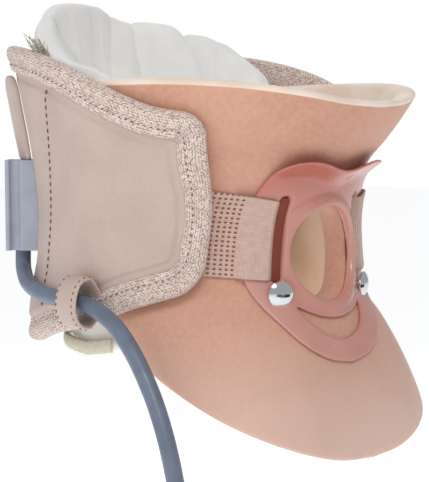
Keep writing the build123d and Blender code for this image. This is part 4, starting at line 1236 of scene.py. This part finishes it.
def make_cushion():
    columns, around = 420, 72
    # Round the back: from the front end on the wearer's left, through the centre back, to the right.
    turned = np.linspace(*CUSHION_ENDS, columns)
    signed = signed_turn(turned)
    kernel = np.hanning(13) / np.hanning(13).sum()
    top = np.convolve(np.pad(cushion_top(signed), 6, mode="edge"), kernel, "valid")
    foot = np.interp(np.abs(signed), [64, 80, 100, 180], [-27, -34, -38, -38])
    swell = crown_at(np.minimum(turned - CUSHION_ENDS[0], CUSHION_ENDS[1] - turned), 9)
    turn = np.linspace(0, 2 * math.pi, around, endpoint=False)
    across, upward = np.cos(turn), np.sin(turn)
    across = np.sign(across) * np.abs(across) ** 0.62
    upward = np.sign(upward) * np.abs(upward) ** 0.8
    middle, half_high = (top + foot) / 2, (top - foot) / 2 * (0.55 + 0.45 * swell)
    height = middle[:, None] + half_high[:, None] * upward[None]
    pinch, sharp = np.zeros_like(height), np.zeros_like(height)
    for place, slant, depth in PINCHES:
        aside = signed[:, None] + slant * (120 - height)
        pinch += depth * ridge(aside, place, 4.6)
        sharp += depth * ridge(aside, place, 1.2)
    swell = swell[:, None]
    wide = CUSHION_HALF * swell - (0.6 * pinch + 0.4 * sharp) * (0.35 + 0.65 * step(height, 60, 112))
    wide = np.maximum(wide, 0.8 * swell)
    angle = np.radians(signed)[:, None] * np.ones(around)
    creases = 1.3 * turn_noise(angle, height, 5, 12, 3.0, 14.0)
    creases += 0.3 * turn_noise(angle, height, 9, 10, 14.0, 34.0)
    folds = turn_noise(angle + 0.02 * np.sin(height * 0.09), height, 21, 8, 14.0, 30.0)
    puckers = -0.7 * np.abs(folds) * step(height, 30, 100)
    off = cushion_bulge(signed[:, None], height) - CUSHION_DEPTH
    off = off + across * (wide + (creases + puckers) * swell)
    height = height - 0.35 * sharp * step(height, 95, 120) + 0.3 * creases * step(height, 90, 120)
    cushion = closed_rings("neck_cushion", on_wall(cushion_oval, angle, height, off, 1), surfaces["cushion"])
    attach(cushion, "root")
    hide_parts("air_cushion")
    make_cushion_hem(foot, signed)


def make_bladder():
    """The flat air bladder inside the cushion, hidden by it."""
    signed = signed_turn(np.linspace(84, 276, 120))
    foot, top = -22, cushion_top(signed) - 17
    height = foot + (top - foot) * np.linspace(0, 1, 24)[:, None]
    angle = np.radians(signed) * np.ones_like(height)
    middle = cushion_bulge(signed, height) - CUSHION_DEPTH
    faces = [on_wall(cushion_oval, angle, height, middle + aside, 1) for aside in (1.2, -1.2)]
    bladder = shell("air_bag", *faces, surfaces["film"], np.stack([angle * 60, height], -1))
    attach(bladder, "root")
    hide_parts("air_bladder")


def make_cushion_hem(foot, signed):
    """A yellowed hem along the cushion's lower outer edge."""
    keep = np.abs(signed) > 84
    angle, low = np.radians(signed[keep]), foot[keep]
    section = [(0.3, 0.5), (0.9, 2.5), (0.7, 5.5), (0.2, 6.4),
               (-1.2, 6.2), (-1.6, 2.0), (-1.0, -0.6), (-0.2, -0.4)]
    ripple = 0.25 * np.sin(angle * 60) - 1.4
    lines = [on_wall(cushion_oval, angle, low + rise, off + ripple, 1) for off, rise in section]
    hem = closed_rings("cushion_hem", np.array(lines).transpose(1, 0, 2), surfaces["hem"])
    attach(hem, "root")


def make_tuft():
    """A frayed tuft of thread where the cushion's cover is sewn to the collar, near the right back."""
    chance = random.Random(3)
    starts, ends, outs = [], [], []
    base = on_wall(cover_oval, math.radians(107), 102.0, -4.5, -1)
    for _ in range(34):
        along = chance.uniform(-4, 5)
        shift = -0.45 * along + chance.uniform(-1, 1)
        root = base + np.array([shift, along, chance.uniform(-1.5, 0.5) + 0.35 * along])
        lean = chance.uniform(0.5, 4.5)
        reach = np.array([-lean, lean, chance.uniform(2, 8)])
        bow = root + reach * 0.5 + np.array([chance.uniform(-1.5, 1.5) for _ in range(3)])
        for a, b in ((root, bow), (bow, root + reach)):
            starts.append(a)
            ends.append(b)
            outs.append(np.array([chance.uniform(-1, 1), chance.uniform(-1, 1), 0.3]))
    tuft = capsules("thread_tuft", starts, ends, 0.16, surfaces["tuft_thread"], outs, around=5)
    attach(tuft, "root")


# ------------------------------------------------------------------ keeper and pull tab
def sweep_band(name, loop, half_width, thick, surface):
    """A soft flat band swept round a closed (x, z) loop, with rounded edges; its width runs along y."""
    loop = resample(loop, 0.7)
    ahead = np.roll(loop, -1, axis=0) - np.roll(loop, 1, axis=0)
    outward = np.stack([ahead[:, 1], -ahead[:, 0]], 1) / np.linalg.norm(ahead, axis=1)[:, None]
    if ((loop - loop.mean(0)) * outward).sum() < 0:
        outward = -outward
    turn = np.linspace(0, 2 * math.pi, 28, endpoint=False)
    across = half_width * np.copysign(np.abs(np.cos(turn)) ** 0.35, np.cos(turn))
    depth = thick / 2 * np.copysign(np.abs(np.sin(turn)) ** 0.8, np.sin(turn))
    lift = depth + np.copysign(0.18 * (1 - (np.abs(across) / half_width) ** 6), depth)
    places = run_lengths(loop)
    sway = 0.35 * np.sin(places * 0.21)
    rings = loop[:, None] + outward[:, None] * lift[:, None]
    points = np.stack([rings[..., 0], KEEPER_Y + across + sway[:, None], rings[..., 1]], -1)
    uv = np.stack([np.repeat(places, len(across)), np.tile(across, len(loop))], 1)
    faces = grid_faces(len(loop), len(across), close_rows=True, close_columns=True)
    made = build(name, points.reshape(-1, 3), faces, surface, uv)
    face_outwards(made)
    return made, loop, outward


def make_keeper():
    """The leatherette loop that holds the hose to the right wing, with a stitch line along each edge."""
    low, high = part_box("hose_keeper")
    inset, edge = 0.9, 1.05
    left, right = low.x / MM + inset, high.x / MM - inset
    foot, top = low.z / MM + inset, high.z / MM - inset
    middle = (left + right) / 2
    corners = [
        (right, top - 4), (middle + 2.5, top + 0.6), (middle - 3, top - 0.6), (left, top - 6),
        (left - 0.3, foot + 6), (left + 3.2, foot + 0.8), (middle + 1, foot - 0.6), (right, foot + 3.5),
    ]
    rows = np.array(corners + corners[:1], float)
    places = run_lengths(rows)
    wrap = np.vstack([rows[-3:-1], rows, rows[1:3]])
    wrap_places = np.r_[places[-3:-1] - places[-1], places, places[1:3] + places[-1]]
    curve = smooth_rows(np.column_stack([wrap_places, wrap]))
    loop = curve(np.linspace(0, places[-1], 90, endpoint=False))
    keeper, line, outward = sweep_band("keeper_loop", loop, 6.8, 1.7, surfaces["leather"])
    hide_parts("hose_keeper")
    starts, ends, outs = [], [], []
    for row in (-5.2, 5.2):
        for i in range(0, len(line) - 3, 4):
            out = outward[i + 1]
            for ends_list, (x, z) in ((starts, line[i] + edge * out), (ends, line[i + 2] + edge * out)):
                ends_list.append(np.array([x, KEEPER_Y + row, z]))
            outs.append(np.array([out[0], 0.0, out[1]]))
    stitches = capsules("keeper_stitch", starts, ends, 0.2, surfaces["dark_thread"], outs)
    for piece in (keeper, stitches):
        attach(piece, "wing_right")


def make_tab():
    """The pull tab: a flat padded tongue with a rounded head and a stitch line inside its edge."""
    low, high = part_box("pull_tab")
    foot, top = low.z / MM, high.z / MM
    out_x, out_y = -0.72, 0.694
    outward = np.array((out_x, out_y, 0.0))
    turn = math.radians(16)  # the tongue hangs a little askew
    cosine, sine = math.cos(turn), math.sin(turn)
    sideways = np.array((out_y * cosine + out_x * sine, out_y * sine - out_x * cosine, 0.0))
    origin = np.array((1.2, 1.2, 0.0))
    half, head_r, thick = 11.0, 8.5, 2.8
    outline = [(-half * 0.86, foot), (-half, foot + 12), (-half, top - head_r)]
    for t in np.linspace(0, math.pi / 2, 10):
        outline.append((head_r * (1 - math.cos(t)) - half, top - head_r * (1 - math.sin(t))))
    outline += [(-x, z) for x, z in outline[::-1]]
    flat, faces, distance = patch(outline, [], spacing=1.6, edge_spacing=0.9)
    rise = (flat[:, 1] - foot) / (top - foot)
    reach = 82.4 + rise * 7.3
    half_thick = thick / 2 * (0.25 + 0.75 * crown_at(distance)) - 0.35 * ridge(distance, 2.4, 0.45)
    place = origin + flat[:, :1] * sideways + np.array((0, 0, 1.0)) * flat[:, 1:]
    outer = place + outward * (reach + half_thick)[:, None]
    inner = place + outward * (reach - half_thick)[:, None]
    tab = thick_patch("pull_tongue", faces, outer, inner, surfaces["leather"])
    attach(tab, "root")
    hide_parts("pull_tab")


make_foam()
make_plate()
make_strap(-1, "knit_strap_right", "strap_right")
make_strap(1, "knit_strap_left", "strap_left")
make_covers()
make_cushion()
make_bladder()
make_tuft()
make_keeper()
make_tab()

carried_over = {
    "metal": ("release_valve", "inlet_valve", "release_needle", "inlet_ball", "rivets", "rivet_washers",
              "connector_screws"),
    "connector": ("hose_connector", "release_knob", "connector_backplate", "bladder_nipple"),
    "rubber": ("pump_bulb",),
    "board": ("board_right", "board_left", "board_back"),
    "strap": ("strap_hook_right", "strap_hook_left"),
}
for surface, names in carried_over.items():
    for name in names:
        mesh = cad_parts[name].data
        mesh.materials.clear()
        mesh.materials.append(surfaces[surface])
